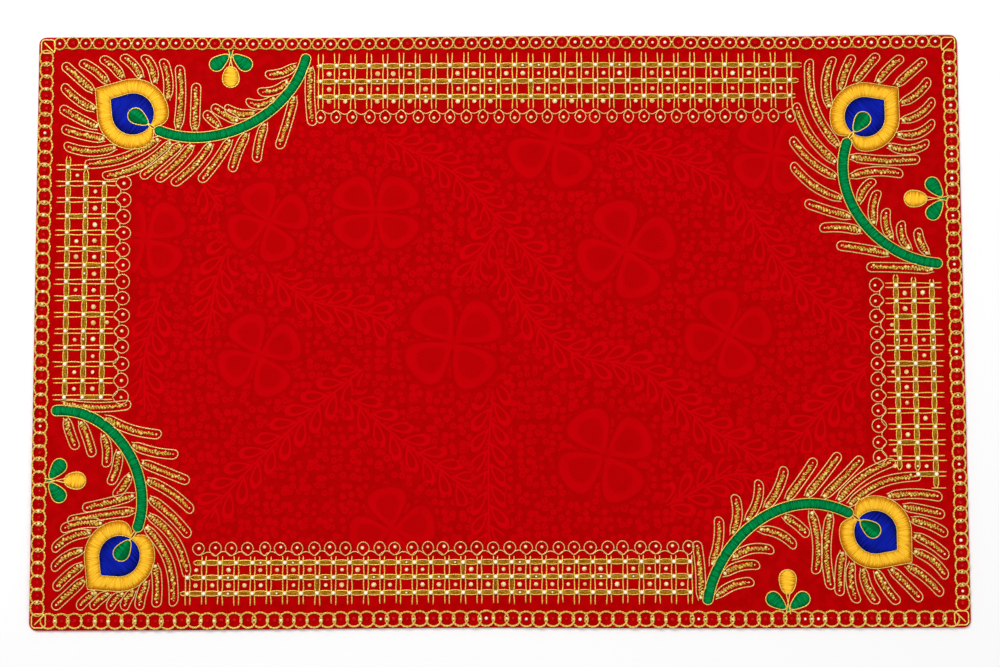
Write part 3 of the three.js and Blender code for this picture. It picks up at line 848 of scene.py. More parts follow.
def satin_piece(number, label, rows, pad, finish, *nodes, lift=0):
    """Padded satin stitch in one of the corners, over rows, which are their left and right ends in the
    corner's frame and the crown of each. A stitch is two rows, a raised one and a sunk one."""
    corner = CORNERS[number]
    chance = chance_for(label, number)
    left, right, crowns = rows
    count = len(left)
    way = unit(right - left)
    raised = np.arange(count) % 2 == 0
    fray = chance.uniform(0, STITCH_FRAY, (2, count)) * raised
    left = left - way * fray[0][:, None]
    right = right + way * fray[1][:, None]
    across = left[:, None, :] + (right - left)[:, None, :] * ROW_ACROSS[None, :, None]
    x, y = to_mat(corner, across[..., 0], across[..., 1])
    crown = np.clip(ROW_CROWN, 0, 1)[None, :] * (pad["height"] - pad["wall"]) * crowns[:, None]
    stray = chance.uniform(-RIDGE_STRAY, RIDGE_STRAY, count)
    ridge = (RIDGE * raised + stray)[:, None] * (ROW_CROWN > 0)[None, :]
    height = np.where(ROW_CROWN[None, :] < 0, 0, pad["wall"] + crown + ridge)
    points = np.stack([x, settle(x, y), surface(x, y) + height + lift], axis=-1).reshape(-1, 3) * MM
    name = f"{corner['name']}_{label}"
    mesh = bpy.data.meshes.new(name)
    mesh.from_pydata(points.tolist(), [], satin_faces(count))
    run = run_along((left + right) / 2)
    uv = np.stack(np.broadcast_arrays(run[:, None], ROW_ACROSS[None, :]), axis=-1).reshape(-1, 2)
    loops = np.empty(len(mesh.loops), np.int32)
    mesh.loops.foreach_get("vertex_index", loops)
    mesh.uv_layers.new(name="stitch").data.foreach_set("uv", uv[loops].astype(np.float32).ravel())
    work = bmesh.new()
    work.from_mesh(mesh)
    bmesh.ops.recalc_face_normals(work, faces=work.faces)
    work.to_mesh(mesh)
    work.free()
    mesh.polygons.foreach_set("use_smooth", [True] * len(mesh.polygons))
    mesh.materials.append(finish_called(finish))
    return dress(new_piece(name, mesh), finish, *(f"{corner['name']}_{node}" for node in nodes))


def teardrop_rows(centre, radius, point, heading, stitch, fullness=0.0):
    """Rows across a teardrop, from its round end to its point. Fullness bows the flanks out."""
    count = 2 * round((1 + point) * radius / stitch)
    a = np.linspace(-radius * 0.995, point * radius * 0.985, count)
    full = radius * np.sqrt(1 - (np.clip(a, 0, None) / (point * radius)) ** 2)
    half = teardrop_half(a, radius, point)
    half = np.maximum(np.where(a > 0, half + fullness * (full - half), half), MIN_HALF_ROW)
    middle = np.column_stack(polar(centre, heading, a))
    across = np.column_stack(polar((0, 0), heading + 90, half))
    return middle - across, middle + across, np.sqrt(np.clip(half / (FULL_CROWN * radius), 0, 1))


def rows_outline(rows, kind):
    """A closed line round a shape of rows, for one of the kinds in OUTLINES."""
    cord = OUTLINES[kind]
    ring = np.vstack([rows[0], rows[1][::-1]])
    ring = np.vstack([ring, ring[:1]])
    run = run_along(ring)
    ring = points_at(ring, run, np.linspace(0, run[-1], cord["points"], endpoint=False))
    tangent = unit(np.roll(ring, -1, axis=0) - np.roll(ring, 1, axis=0))
    area = np.sum(ring[:, 0] * np.roll(ring[:, 1], -1) - ring[:, 1] * np.roll(ring[:, 0], -1))
    return (ring - math.copysign(cord["beside"], area) * left_of(tangent)).T


def heart_leaf_rows(corner, stitch):
    neck = corner["eye"]["neck"]
    centre = polar(eye_centre(corner), neck, EYE_LEAF["shift"])
    return teardrop_rows(centre, EYE_LEAF["radius"], EYE_LEAF["point"], neck, stitch, LEAF_FULLNESS)


def bud_rows(corner, stitch):
    bud = corner["bud"]
    middle = bud["tip"] - BUD["radius"]
    point = (middle - bud["base"]) / BUD["radius"]
    return teardrop_rows((bud["u"], middle), BUD["radius"], point, -90, stitch, BUD_FULLNESS)


def bud_leaf_rows(corner, way, stitch):
    bud = corner["bud"]
    heading = 90 + way * BUD["leaf_spread"]
    reach = BUD["leaf_radius"] * BUD["leaf_point"]
    centre = polar((bud["u"] - way * BUD["leaf_step"], bud["foot"]), heading, reach)
    return teardrop_rows(centre, BUD["leaf_radius"], BUD["leaf_point"], heading + 180, stitch, LEAF_FULLNESS)


# Materials. Colours are linear.


def new_material(name):
    material = bpy.data.materials.new(name)
    material.use_nodes = True
    tree = material.node_tree
    tree.nodes.clear()
    shader = tree.nodes.new("ShaderNodeBsdfPrincipled")
    add_node(tree, "ShaderNodeOutputMaterial", {"Surface": shader.outputs[0]})
    return material, tree, shader


def mix_colour(factor, one, other):
    """One colour where the factor is 0 and the other where it is 1."""
    inputs = {0: factor}
    for key, colour in ((6, one), (7, other)):
        inputs[key] = colour if isinstance(colour, bpy.types.NodeSocket) else (*colour[:3], 1)
    return add_node(factor.tree, "ShaderNodeMix", inputs, data_type="RGBA").outputs[2]


def ramp(value, low, high):
    """0 below low, 1 above high, smooth between."""
    inputs = {0: value, 1: low, 2: high}
    node = add_node(value.tree, "ShaderNodeMapRange", inputs, interpolation_type="SMOOTHSTEP")
    return Reading(value.tree, node.outputs[0])


def noise(tree, vector, scale, detail=2.0):
    node = add_node(tree, "ShaderNodeTexNoise", {"Vector": vector, "Scale": scale, "Detail": detail})
    return Reading(tree, node.outputs[0])


def vector_parts(tree, vector):
    outputs = add_node(tree, "ShaderNodeSeparateXYZ", {0: vector}).outputs
    return [Reading(tree, output) for output in outputs]


def uv_parts(tree, name):
    return vector_parts(tree, add_node(tree, "ShaderNodeUVMap", uv_map=name).outputs[0])[:2]


def object_place(tree):
    return tree.nodes.new("ShaderNodeTexCoord").outputs["Object"]


def bumped(height, distance, strength):
    """The surface's normal, leaning as the height rises and falls."""
    inputs = {"Strength": strength, "Distance": distance, "Height": height}
    return add_node(height.tree, "ShaderNodeBump", inputs).outputs[0]


def twisted_gold(name, tones, pitch, plies=2.0, stripes=0.35):
    """Metal thread twisted from plies, with its light painted in: a painted highlight along the top of each
    ply, painted shade at its sides and in the grooves between the plies.
    """
    material, tree, shader = new_material(name)
    pale, middle, deep = tones
    run, around = uv_parts(tree, "thread")
    full_turn = 2 * math.pi
    # The twist of the plies, which also bumps the surface; in the colour its troughs are painted shade in the
    # grooves.
    ply = ((run / pitch + around * plies) * full_turn).sine() * 0.5 + 0.5
    # Painted highlight along the top of the cord and painted shade on its sides, from the turn round it.
    painted_top_light = abs((around * full_turn).sine())
    tarnish = noise(tree, object_place(tree), 900.0, 3.0)
    # bright: the painted highlight and shade, with a random tarnish tone.
    bright = ply * stripes + painted_top_light * (0.7 - stripes) + (tarnish * 0.9 - 0.15)
    # The deep tone is the painted shade, middle the flanks and pale the painted highlight.
    lower = mix_colour(ramp(bright, 0.22, 0.5), deep, middle)
    set_inputs(tree, shader, {
        "Base Color": mix_colour(ramp(bright, 0.52, 0.86), lower, pale),
        "Metallic": 0.35,
        "Roughness": 0.36,
        "Specular Tint": (*pale[:3], 1),
        "Normal": bumped(ply, 0.0001, 0.8),
    })
    return material


def satin_thread(name, tones, shaded_half=0.0, ridge=1.0, lines=0.0):
    """Glossy thread lying side by side across a padded shape, with painted shade towards its edges, where the
    pad curves down into the cloth.
    A third setting darkens one half of a leaf with painted shade, for the other sheen of its slanted
    stitches; ridge moves the painted highlight, the lightest line between the shaded edges, off the middle;
    lines paints shade along single rows."""
    material, tree, shader = new_material(name)
    # edge: the painted shade where the pad curves down into the cloth.
    light, deep, edge = tones
    run, across = uv_parts(tree, "stitch")

    def threads(along, over):
        place = add_node(tree, "ShaderNodeCombineXYZ", {"X": run * along, "Y": across * over})
        return noise(tree, place.outputs[0], 1.0)

    fine, wide = threads(2.2, 1.2), threads(0.5, 0.7)
    toned = mix_colour(ramp(fine * 0.75 + wide * 0.25, 0.38, 0.56), deep, light)
    # Painted shade towards both edges, ragged with the thread noise; the unshaded crown, a painted highlight,
    # sits where across is half of ridge.
    ragged_edge_shade = abs(across * 2.0 - ridge) + (fine * -2.4 + 1.2)
    toned = mix_colour(ramp(ragged_edge_shade, 0.42, 1.0), toned, edge)
    # Painted shade along single rows, in the edge shade colour.
    if lines:
        toned = mix_colour(ramp(threads(1.3, 0.2), 0.50, 0.38) * lines, toned, edge)
    # Painted shade on one half of a leaf, for the other sheen of its stitches.
    if shaded_half:
        toned = mix_colour(ramp(across, 0.46, 0.54) * shaded_half, toned, edge)
    set_inputs(tree, shader, {
        "Base Color": toned,
        "Roughness": 0.5,
        "Specular IOR Level": 0.25,
        "Specular Tint": (*light[:3], 1),
        "Normal": bumped(fine, 0.0003, 0.9),
    })
    return material


def pearl_finish(name, colour, shade, gloss=0.4):
    material, tree, shader = new_material(name)
    tone = ramp(noise(tree, object_place(tree), 420.0), 0.35, 0.65)
    set_inputs(tree, shader, {
        "Base Color": mix_colour(tone, shade, colour),
        "Roughness": 0.62 - gloss,
        "Specular IOR Level": gloss,
        "Coat Weight": gloss,
        "Coat Roughness": 0.1,
    })
    return material


def oval(one, other):
    """Distance from the middle of an oval whose edge is at 1."""
    return (one**2.0 + other**2.0).maths("SQRT")


def petal_shape(tree, place):
    """Brightness of a flower from its own coordinates, whose unit is the flower's radius, and the clear
    ground round it."""
    x, y = vector_parts(tree, place)[:2]
    quarter = math.pi / 2
    folded = (y.maths("ARCTAN2", x) + quarter / 2) % quarter - quarter / 2
    length = add_node(tree, "ShaderNodeVectorMath", {0: place}, operation="LENGTH").outputs["Value"]
    radius = Reading(tree, length)
    along = radius * folded.maths("COSINE")
    across = radius * folded.sine()
    width = along * PETAL["widening"] + PETAL["root"]
    reach = oval((along - PETAL["middle"]) / PETAL["half"], across / width)
    petal = ramp(reach, 1.06, 0.92)
    inside = ramp(reach, 0.72, 0.52)
    veins = (across.maths("ARCTAN2", along) * PETAL["veins"]).sine()
    flower = petal * (1.0 - inside * (1.0 - (veins * 0.12 + 0.46)))
    heart = ramp(radius, 0.15, 0.12) * 0.55
    return (flower * 0.7).larger(heart), ramp(reach, 1.3, 1.0)


def leaf_shape(tree, place):
    """Brightness of a leafy spray from the run along its stalk and the distance across it, and the clear
    ground round it."""
    run, across = vector_parts(tree, place)[:2]
    pitch, centre, size = LEAF["pitch"], LEAF["centre"], LEAF["size"]
    cosine, sine = math.cos(math.radians(LEAF["tilt"])), math.sin(math.radians(LEAF["tilt"]))
    off = abs(across)
    local = (run + across.above(0.0) * (pitch * LEAF["stagger"])) % pitch
    up = off - centre[1]
    reaches = []
    for shift in (centre[0], centre[0] - pitch):
        right = local - shift
        long_part = right * cosine + up * sine
        wide_part = up * cosine - right * sine
        half = (long_part * 0.22 + size[1]).larger(0.4)
        reaches.append(oval(long_part / size[0], wide_part / half))
    reach = reaches[0].maths("MINIMUM", reaches[1])
    leaf = ramp(reach, 1.08, 0.94) * (1.0 - ramp(reach, 0.68, 0.52) * 0.9)
    stalk = ramp(off, 0.9, 0.5)
    return leaf.larger(stalk), ramp(reach, 1.5, 1.1)


def whole_number(value):
    """1 where every corner of a mesh cell has the same number above 0."""
    off = abs(value - value.maths("ROUND"))
    return off.maths("LESS_THAN", 0.002) * value.above(0.5)


def woven_dots(tree, flat, pitch):
    dots = add_node(tree, "ShaderNodeTexVoronoi", {
        "Vector": flat, "Scale": 1 / pitch, "Randomness": 0.75,
    }, voronoi_dimensions="2D").outputs
    size, hole = vector_parts(tree, dots["Color"])[:2]
    distance = Reading(tree, dots["Distance"])
    dot = ramp(size * -0.16 + distance, 0.34, 0.25)
    hollow = ramp(distance, 0.16, 0.10) * hole.above(0.55)
    return dot * (hollow * -0.7 + 1.0)


def brocade(name, settings):
    """Red satin brocade: flowers, leaf sprays and a ground of dots, woven tone on tone, under a broad noise
    that is partly the cloth's own mottling and partly painted shade.
    """
    material, tree, shader = new_material(name)

    def charted(layer):
        return add_node(tree, "ShaderNodeAttribute", attribute_name=layer).outputs["Vector"]

    near_flower, near_spray, in_field = vector_parts(tree, charted("figure_near"))
    sharp_flower, sharp_spray = whole_number(near_flower), whole_number(near_spray)
    flower, flower_clear = petal_shape(tree, charted("flower_at"))
    spray, spray_clear = leaf_shape(tree, charted("spray_at"))
    covered = (flower_clear * sharp_flower).larger(spray_clear * sharp_spray)
    place = object_place(tree)
    flat = add_node(tree, "ShaderNodeVectorMath", {0: place, 1: (1, 1, 0)}, operation="MULTIPLY").outputs[0]
    ground = woven_dots(tree, flat, settings.dot_pitch) * 0.72 * (in_field * (1.0 - covered))
    figure = (flower * sharp_flower).larger(spray * sharp_spray).larger(ground)
    # A broad noise, partly the cloth's own mottling and partly painted shade: the figure fades with it and
    # the whole level rises and falls with it.
    mottle_and_shade, blotch = noise(tree, flat, 55.0, 3.0), noise(tree, flat, 160.0)
    figure_fade = ramp(mottle_and_shade + in_field * 0.25, 0.35, 0.62)
    # Outside the field only this mottled tone lifts the ground, so the cloth there stays darker: partly the
    # cloth's own look, partly painted shade among the lattice cords.
    plain = ramp(blotch, 0.4, 0.62) * (in_field * -0.2 + 0.4)
    figure = (figure * figure_fade).larger(plain)
    level = figure.maths("ADD", mottle_and_shade * 0.5 - 0.25, clamp=True)
    weave = add_node(tree, "ShaderNodeTexWave", {
        "Vector": flat, "Scale": 10 / (2 * math.pi * settings.weave_pitch), "Distortion": 1.2, "Detail": 1.0,
    }, bands_direction="DIAGONAL").outputs["Fac"]
    set_inputs(tree, shader, {
        "Base Color": mix_colour(level, settings.ground, settings.figure),
        "Roughness": 0.7,
        "Specular IOR Level": 0.12,
        "Specular Tint": (1.0, 0.05, 0.05, 1),
        "Normal": bumped(figure + Reading(tree, weave) * 0.12, 0.0002, 0.6),
    })
    return material


def floor_finish(name, colour):
    material, tree, shader = new_material(name)
    shade = [channel * 0.985 for channel in colour]
    set_inputs(tree, shader, {
        "Base Color": mix_colour(noise(tree, object_place(tree), 3.0), shade, colour),
        "Roughness": 0.8,
        "Specular IOR Level": 0.1,
    })
    return material


def finish_called(name):
    """The mat's finishes, each made once."""
    found = bpy.data.materials.get(name)
    if found:
        return found
    mat = bpy.context.scene.seat_mat
    gold, satin = mat.gold, mat.satin
    fine = (gold.pale, gold.middle, gold.deep)
    soft = (gold.soft, gold.soft_middle, gold.deep)
    bullion = (gold.pale, gold.orange, gold.deep)
    rail = (gold.rail, gold.rail_deep, gold.groove)
    yellow = (satin.yellow, satin.yellow_deep, satin.yellow_edge_shade)
    green = (satin.green, satin.green_deep, satin.green_edge_shade)
    blue = (satin.blue, satin.blue_deep, satin.blue_edge_shade)
    makers = {
        "figured_brocade": lambda: brocade(name, mat.cloth),
        "fine_gold": lambda: twisted_gold(name, fine, 0.0021),
        "chain_gold": lambda: twisted_gold(name, fine, 0.0026, stripes=0.12),
        "barb_gold": lambda: twisted_gold(name, soft, 0.0021),
        "rail_gold": lambda: twisted_gold(name, rail, 0.0012, plies=3.0),
        "bullion_gold": lambda: twisted_gold(name, bullion, 0.0014),
        "yellow_satin": lambda: satin_thread(name, yellow),
        "band_satin": lambda: satin_thread(name, yellow, ridge=0.85, lines=0.35),
        "green_satin": lambda: satin_thread(name, green, lines=0.7),
        "green_leaf_satin": lambda: satin_thread(name, green, shaded_half=0.6),
        "blue_satin": lambda: satin_thread(name, blue),
        "pearl_gloss": lambda: pearl_finish(name, gold.pearl, gold.pearl_shade),
        "chip_gloss": lambda: pearl_finish(name, gold.pale, gold.middle),
        "bead_gloss": lambda: pearl_finish(name, gold.bead, gold.bead_shade),
        "knot_red": lambda: pearl_finish(name, gold.knot, gold.knot_shade, gloss=0.05),
        "pale_floor": lambda: floor_finish(name, mat.stage.floor),
    }
    return makers[name]()


# Settings.


def colour_setting(name, description, default):
    return FloatVectorProperty(name=name, description=description, default=default, size=3, subtype="COLOR",
                               min=0, max=1)


def length_setting(name, description, default):
    return FloatProperty(name=name, description=description, default=default, min=0, subtype="DISTANCE",
                         unit="LENGTH", precision=5)


class SeatMatCloth(bpy.types.PropertyGroup):
    ground: colour_setting("Ground", "Red of the woven ground", (0.375, 0.0, 0.0004))
    figure: colour_setting("Figure", "Red of the woven figure", (0.545, 0.0, 0.002))
    dot_pitch: length_setting("Dot pitch", "Spacing of the woven dots", 0.0055)
    weave_pitch: length_setting("Weave pitch", "Spacing of the twill lines", 0.0006)
    grid_pitch: length_setting("Mesh pitch", "Spacing of the cloth's mesh lines", 0.0037)


class SeatMatSatin(bpy.types.PropertyGroup):
    # Each edge colour is painted shade, where the satin dips into the cloth.
    stitch: length_setting("Stitch", "Width of one satin stitch", 0.0005)
    yellow: colour_setting("Yellow", "Bright yellow thread", (0.97, 0.57, 0.035))
    yellow_deep: colour_setting("Yellow deep", "Shaded yellow thread", (0.92, 0.44, 0.014))
    yellow_edge_shade: colour_setting("Yellow edge", "Yellow where it dips into the cloth", (0.52, 0.15, 0.0))
    green: colour_setting("Green", "Bright green thread", (0.0, 0.265, 0.062))
    green_deep: colour_setting("Green deep", "Shaded green thread", (0.0, 0.15, 0.034))
    green_edge_shade: colour_setting("Green edge", "Green where it dips into the cloth", (0.0, 0.06, 0.015))
    blue: colour_setting("Blue", "Bright blue thread", (0.005, 0.014, 0.38))
    blue_deep: colour_setting("Blue deep", "Shaded blue thread", (0.003, 0.008, 0.23))
    blue_edge_shade: colour_setting("Blue edge", "Blue where it dips into the cloth", (0.002, 0.003, 0.07))


class SeatMatGold(bpy.types.PropertyGroup):
    # The cords' tones are painted light: pale, soft and rail are the painted highlight on a cord's top;
    # middle, soft_middle, orange and rail_deep the painted shade on its flanks; deep and groove the painted
    # shade in its grooves.
    pale: colour_setting("Pale gold", "Top of the fine cord", (0.98, 0.73, 0.17))
    middle: colour_setting("Middle gold", "Flanks of the fine cord", (0.72, 0.39, 0.012))
    orange: colour_setting("Orange gold", "Flanks of the bullion", (0.50, 0.205, 0.003))
    deep: colour_setting("Deep gold", "Grooves of every gold cord", (0.16, 0.045, 0.0))
    soft: colour_setting("Soft gold", "Top of the cord round a barb", (0.90, 0.70, 0.28))
    soft_middle: colour_setting("Soft middle gold", "Flanks of the cord round a barb", (0.62, 0.37, 0.06))
    rail: colour_setting("Rail gold", "Top of the bullion in the rails", (0.56, 0.27, 0.012))
    rail_deep: colour_setting("Rail deep gold", "Flanks of the bullion in the rails", (0.32, 0.12, 0.003))
    groove: colour_setting("Groove", "Grooves of the bullion", (0.10, 0.03, 0.0))
    knot: colour_setting("Knot", "Red knots in the ring chain", (0.62, 0.003, 0.004))
    knot_shade: colour_setting("Knot shade", "Darker tone of the red knots", (0.43, 0.0, 0.002))
    pearl: colour_setting("Pearl", "Pearls on the crossings", (1.0, 0.94, 0.78))
    pearl_shade: colour_setting("Pearl shade", "Darker tone of the pearls", (0.93, 0.82, 0.57))
    bead: colour_setting("Bead", "Spangles and gold beads", (1.0, 0.88, 0.50))
    bead_shade: colour_setting("Bead shade", "Darker tone of the beads", (0.74, 0.48, 0.12))
    outline: length_setting("Outline cord", "Thickness of the cord round the satin", 0.0009)
    barb: length_setting("Barb cord", "Thickness of the cord round a barb", 0.00075)
    coil: length_setting("Bullion wire", "Thickness of the coiled bullion", 0.00058)


class SeatMatStage(bpy.types.PropertyGroup):
    floor: colour_setting("Floor", "Colour of the floor", (0.93, 0.93, 0.93))
    key: FloatProperty(
        name="Key light", description="Power of the large soft light", default=23.0, min=0, subtype="POWER",
    )
    sky: FloatProperty(
        name="Sky", description="Strength of the even light from all round", default=0.4, min=0,
    )


class SeatMat(bpy.types.PropertyGroup):
    cloth: PointerProperty(type=SeatMatCloth)
    satin: PointerProperty(type=SeatMatSatin)
    gold: PointerProperty(type=SeatMatGold)
    stage: PointerProperty(type=SeatMatStage)
    seed: IntProperty(name="Seed", description="Start of every random draw", default=7)


# Operators.


def add_light(context, name, place, size, power):
    """A square soft light that looks at the middle of the mat."""
    light = bpy.data.lights.new(name, "AREA")
    light.energy = power
    light.size = size
    lamp = bpy.data.objects.new(name, light)
    lamp.location = place
    lamp.rotation_euler = (-lamp.location.normalized()).to_track_quat("-Z", "Y").to_euler()
    context.scene.collection.objects.link(lamp)


class SEATMAT_OT_stage(bpy.types.Operator):
    """Adds the camera, the floor and the soft light"""
    bl_idname = "seatmat.stage"
    bl_label = "Stage"

    def execute(self, context):
        settings = context.scene.seat_mat.stage
        camera = bpy.data.objects.new("camera", bpy.data.cameras.new("camera"))
        camera.data.lens = 50
        camera.data.sensor_width = 36
        camera.location = (-0.00045, -0.0602, 0.9105)
        camera.rotation_euler = (0.062715, -0.000861, -0.003231)
        context.scene.collection.objects.link(camera)
        context.scene.camera = camera
        half, drop = 6.0, 0.0002
        corners = [(-half, -half, -drop), (half, -half, -drop), (half, half, -drop), (-half, half, -drop)]
        mesh = bpy.data.meshes.new("floor")
        mesh.from_pydata(corners, [], [(0, 1, 2, 3)])
        mesh.materials.append(finish_called("pale_floor"))
        new_piece("floor", mesh)
        add_light(context, "key_light", (-0.6, 0.9, 1.5), 0.7, settings.key)
        add_light(context, "fill_light", (0.9, -0.5, 1.6), 1.4, settings.key * 0.45)
        world = bpy.data.worlds.new("soft_light")
        world.use_nodes = True
        background = world.node_tree.nodes["Background"]
        background.inputs["Color"].default_value = (1, 1, 1, 1)
        background.inputs["Strength"].default_value = settings.sky
        context.scene.world = world
        context.scene.view_settings.view_transform = "Standard"
        return {"FINISHED"}


def grid_lines(length, pitch):
    """Grid lines across one side of the cloth, close together at the hem."""
    hem = np.array(HEM_LINES, float)
    inner = length / 2 - hem[-1]
    even = np.linspace(-inner, inner, 2 * round(inner / pitch) + 1)
    return np.concatenate([hem - length / 2, even[1:-1], (length / 2 - hem)[::-1]])


def round_corner(x, y):
    qx = np.abs(x) - (MAT_LENGTH / 2 - CORNER_RADIUS)
    qy = np.abs(y) - (MAT_WIDTH / 2 - CORNER_RADIUS)
    outside = (qx > 0) & (qy > 0)
    shrink = np.where(outside, np.maximum(qx, qy) / np.maximum(np.hypot(qx, qy), 1e-9), 1)
    return x - np.sign(x) * qx * (1 - shrink) * outside, y - np.sign(y) * qy * (1 - shrink) * outside


def sheet_faces(rows, columns):
    """Faces of the sheet's two sides, which share the points of the rim, and whether each point is one."""
    rim = np.ones((rows, columns), bool)
    rim[1:-1, 1:-1] = False
    upper = np.arange(rows * columns).reshape(rows, columns)
    lower = upper.copy()
    lower[~rim] = rows * columns + np.arange(np.count_nonzero(~rim))
    top, bottom = (
        np.stack([grid[:-1, :-1], grid[1:, :-1], grid[1:, 1:], grid[:-1, 1:]], axis=-1).reshape(-1, 4)
        for grid in (upper, lower)
    )
    return np.vstack([top, bottom[:, ::-1]]), rim.ravel()


def flower_coordinates(x, y):
    """For each point of the cloth: its place in the nearest flower, and that flower's number or 0."""
    best = np.full(len(x), np.inf)
    flower_at = np.zeros((len(x), 3))
    flower_number = np.zeros(len(x))
    for number, (centre_x, centre_y, turn, half_length, half_width) in enumerate(FLOWERS, 1):
        angle = math.radians(turn)
        dx, dy = (x - centre_x) / half_length, (y - centre_y) / half_width
        distance = np.hypot(dx, dy)
        closer = distance < best
        best[closer] = distance[closer]
        flower_number[closer] = number
        flower_at[closer, 0] = (dx * math.cos(angle) + dy * math.sin(angle))[closer]
        flower_at[closer, 1] = (dy * math.cos(angle) - dx * math.sin(angle))[closer]
    flower_number[best >= FLOWER_REACH] = 0
    return flower_at, flower_number


def spray_coordinates(x, y):
    """For each point of the cloth: its place along the nearest spray, and that spray's number or 0."""
    best = np.full(len(x), np.inf)
    spray_at = np.zeros((len(x), 3))
    spray_number = np.zeros(len(x))
    for number, points in enumerate(SPRAYS, 1):
        line, run = smooth_line(points, SPRAY_STEP)
        tangent = unit(np.gradient(line, axis=0))
        low, high = line.min(0) - SPRAY_MARGIN, line.max(0) + SPRAY_MARGIN
        inside = np.flatnonzero((x > low[0]) & (x < high[0]) & (y > low[1]) & (y < high[1]))
        dx = x[inside, None] - line[None, :, 0]
        dy = y[inside, None] - line[None, :, 1]
        nearest = np.argmin(dx**2 + dy**2, axis=1)
        rows = np.arange(len(inside))
        dx, dy = dx[rows, nearest], dy[rows, nearest]
        along = tangent[nearest]
        distance = np.hypot(dx, dy)
        closer = distance < best[inside]
        ids = inside[closer]
        best[ids] = distance[closer]
        spray_number[ids] = number
        spray_at[ids, 0] = (run[nearest] + dx * along[:, 0] + dy * along[:, 1])[closer]
        spray_at[ids, 1] = (dy * along[:, 0] - dx * along[:, 1])[closer]
    spray_number[best >= SPRAY_REACH] = 0
    return spray_at, spray_number


def figure_layers(x, y):
    """What the brocade's finish reads at each point of the cloth. A flower lies over a spray."""
    flower_at, flower_number = flower_coordinates(x, y)
    spray_at, spray_number = spray_coordinates(x, y)
    spray_number[flower_number > 0] = 0
    in_field = (np.abs(x) < FIELD_HALF[0]) & (np.abs(y) < FIELD_HALF[1])
    near = np.column_stack([flower_number, spray_number, in_field])
    return {"flower_at": flower_at, "spray_at": spray_at, "figure_near": near}


class SEATMAT_OT_cloth(bpy.types.Operator):
    """Lays the brocade sheet with its rolled hem"""
    bl_idname = "seatmat.cloth"
    bl_label = "Brocade cloth"

    def execute(self, context):
        pitch = context.scene.seat_mat.cloth.grid_pitch / MM
        lines_x, lines_y = grid_lines(MAT_LENGTH, pitch), grid_lines(MAT_WIDTH, pitch)
        grid_x, grid_y = (grid.ravel() for grid in np.meshgrid(lines_x, lines_y, indexing="ij"))
        inset = edge_inset(grid_x, grid_y)
        x, y = round_corner(grid_x, grid_y)
        length, wander, slowness = PUCKER["x"]
        waves_x = np.sin(x / length + wander * np.sin(y / slowness))
        length, wander, slowness = PUCKER["y"]
        waves_y = np.cos(y / length + wander * np.sin(x / slowness))
        crease_off = x - FOLD["x"] - CREASE["wander"] * np.sin(y / CREASE["length"])
        crease = CREASE["depth"] * bump(crease_off, CREASE["half_width"])
        relief = (PUCKER["height"] * waves_x * waves_y - crease) * np.clip(inset / HEM_CALM, 0, 1)
        faces, rim = sheet_faces(len(lines_x), len(lines_y))
        upper = np.column_stack([x, settle(x, y), cloth_top(x, y) - hem_fall(inset, HEM_ROLL) + relief])
        lower = np.column_stack([x, settle(x, y), hem_fall(inset, HEM_BELLY)])[~rim]
        mesh = bpy.data.meshes.new("brocade_sheet")
        mesh.from_pydata((np.vstack([upper, lower]) * MM).tolist(), [], faces.tolist())
        mesh.polygons.foreach_set("use_smooth", [True] * len(mesh.polygons))
        layers = figure_layers(np.concatenate([x, x[~rim]]), np.concatenate([y, y[~rim]]))
        for name, values in layers.items():
            layer = mesh.attributes.new(name, "FLOAT_VECTOR", "POINT")
            layer.data.foreach_set("vector", values.astype(np.float32).ravel())
        mesh.materials.append(finish_called("figured_brocade"))
        sheet = dress(new_piece("brocade_sheet", mesh), "figured_brocade", "mat_cloth")
        return {"FINISHED"}


class SEATMAT_OT_satin_eyes(bpy.types.Operator):
    """Works the eye of each feather: yellow band, blue heart and green leaf"""
    bl_idname = "seatmat.satin_eyes"
    bl_label = "Satin eyes"

    def execute(self, context):
        stitch = context.scene.seat_mat.satin.stitch / MM
        for number, corner in enumerate(CORNERS):
            eye, centre = corner["eye"], eye_centre(corner)
            inner_radius = eye["radius"] - EYE_BAND
            slit = math.degrees(NECK_SLIT / 2 / inner_radius)
            count = 2 * round(2 * math.pi * (eye["radius"] - EYE_BAND / 2) * EYE_STRETCH / stitch)
            angles = np.linspace(eye["neck"] + slit, eye["neck"] + 360 - slit, count)
            inner = np.column_stack(polar(centre, angles, heart_radius(eye, angles)))
            outer = np.column_stack(polar(centre, angles, eye_radius(eye, angles, 0)))
            band = (inner, outer, np.ones(count))
            satin_piece(number, "eye_band", band, PAD, "band_satin", "eye_ring")
            heart = teardrop_rows(centre, inner_radius - HEART_MARGIN, EYE_POINT, eye["point"], stitch)
            satin_piece(number, "blue_heart", heart, HEART_PAD, "blue_satin", "eye_heart")
            leaf = heart_leaf_rows(corner, stitch)
            over = HEART_PAD["height"]
            satin_piece(number, "heart_leaf", leaf, LEAF_PAD, "green_leaf_satin", "eye_leaf", lift=over)
        return {"FINISHED"}


class SEATMAT_OT_satin_stems(bpy.types.Operator):
    """Works the stem of each feather"""
    bl_idname = "seatmat.satin_stems"
    bl_label = "Satin stems"

    def execute(self, context):
        stitch = context.scene.seat_mat.satin.stitch / MM
        for number, corner in enumerate(CORNERS):
            count = 2 * round(stem_length(corner) / stitch)
            points, tangents, total = bezier(corner["stem"], count)
            run = np.linspace(0, total, count)
            short = np.clip(STEM_HALF - np.minimum(run, total - run), 0, None)
            half = np.sqrt(np.clip(STEM_HALF**2 - short**2, MIN_HALF_ROW**2, None))
            side = left_of(tangents) * half[:, None]
            rows = (points - side, points + side, np.clip(half / STEM_HALF, 0, 1))
            satin_piece(number, "green_stem", rows, PAD, "green_satin", "stem")
        return {"FINISHED"}


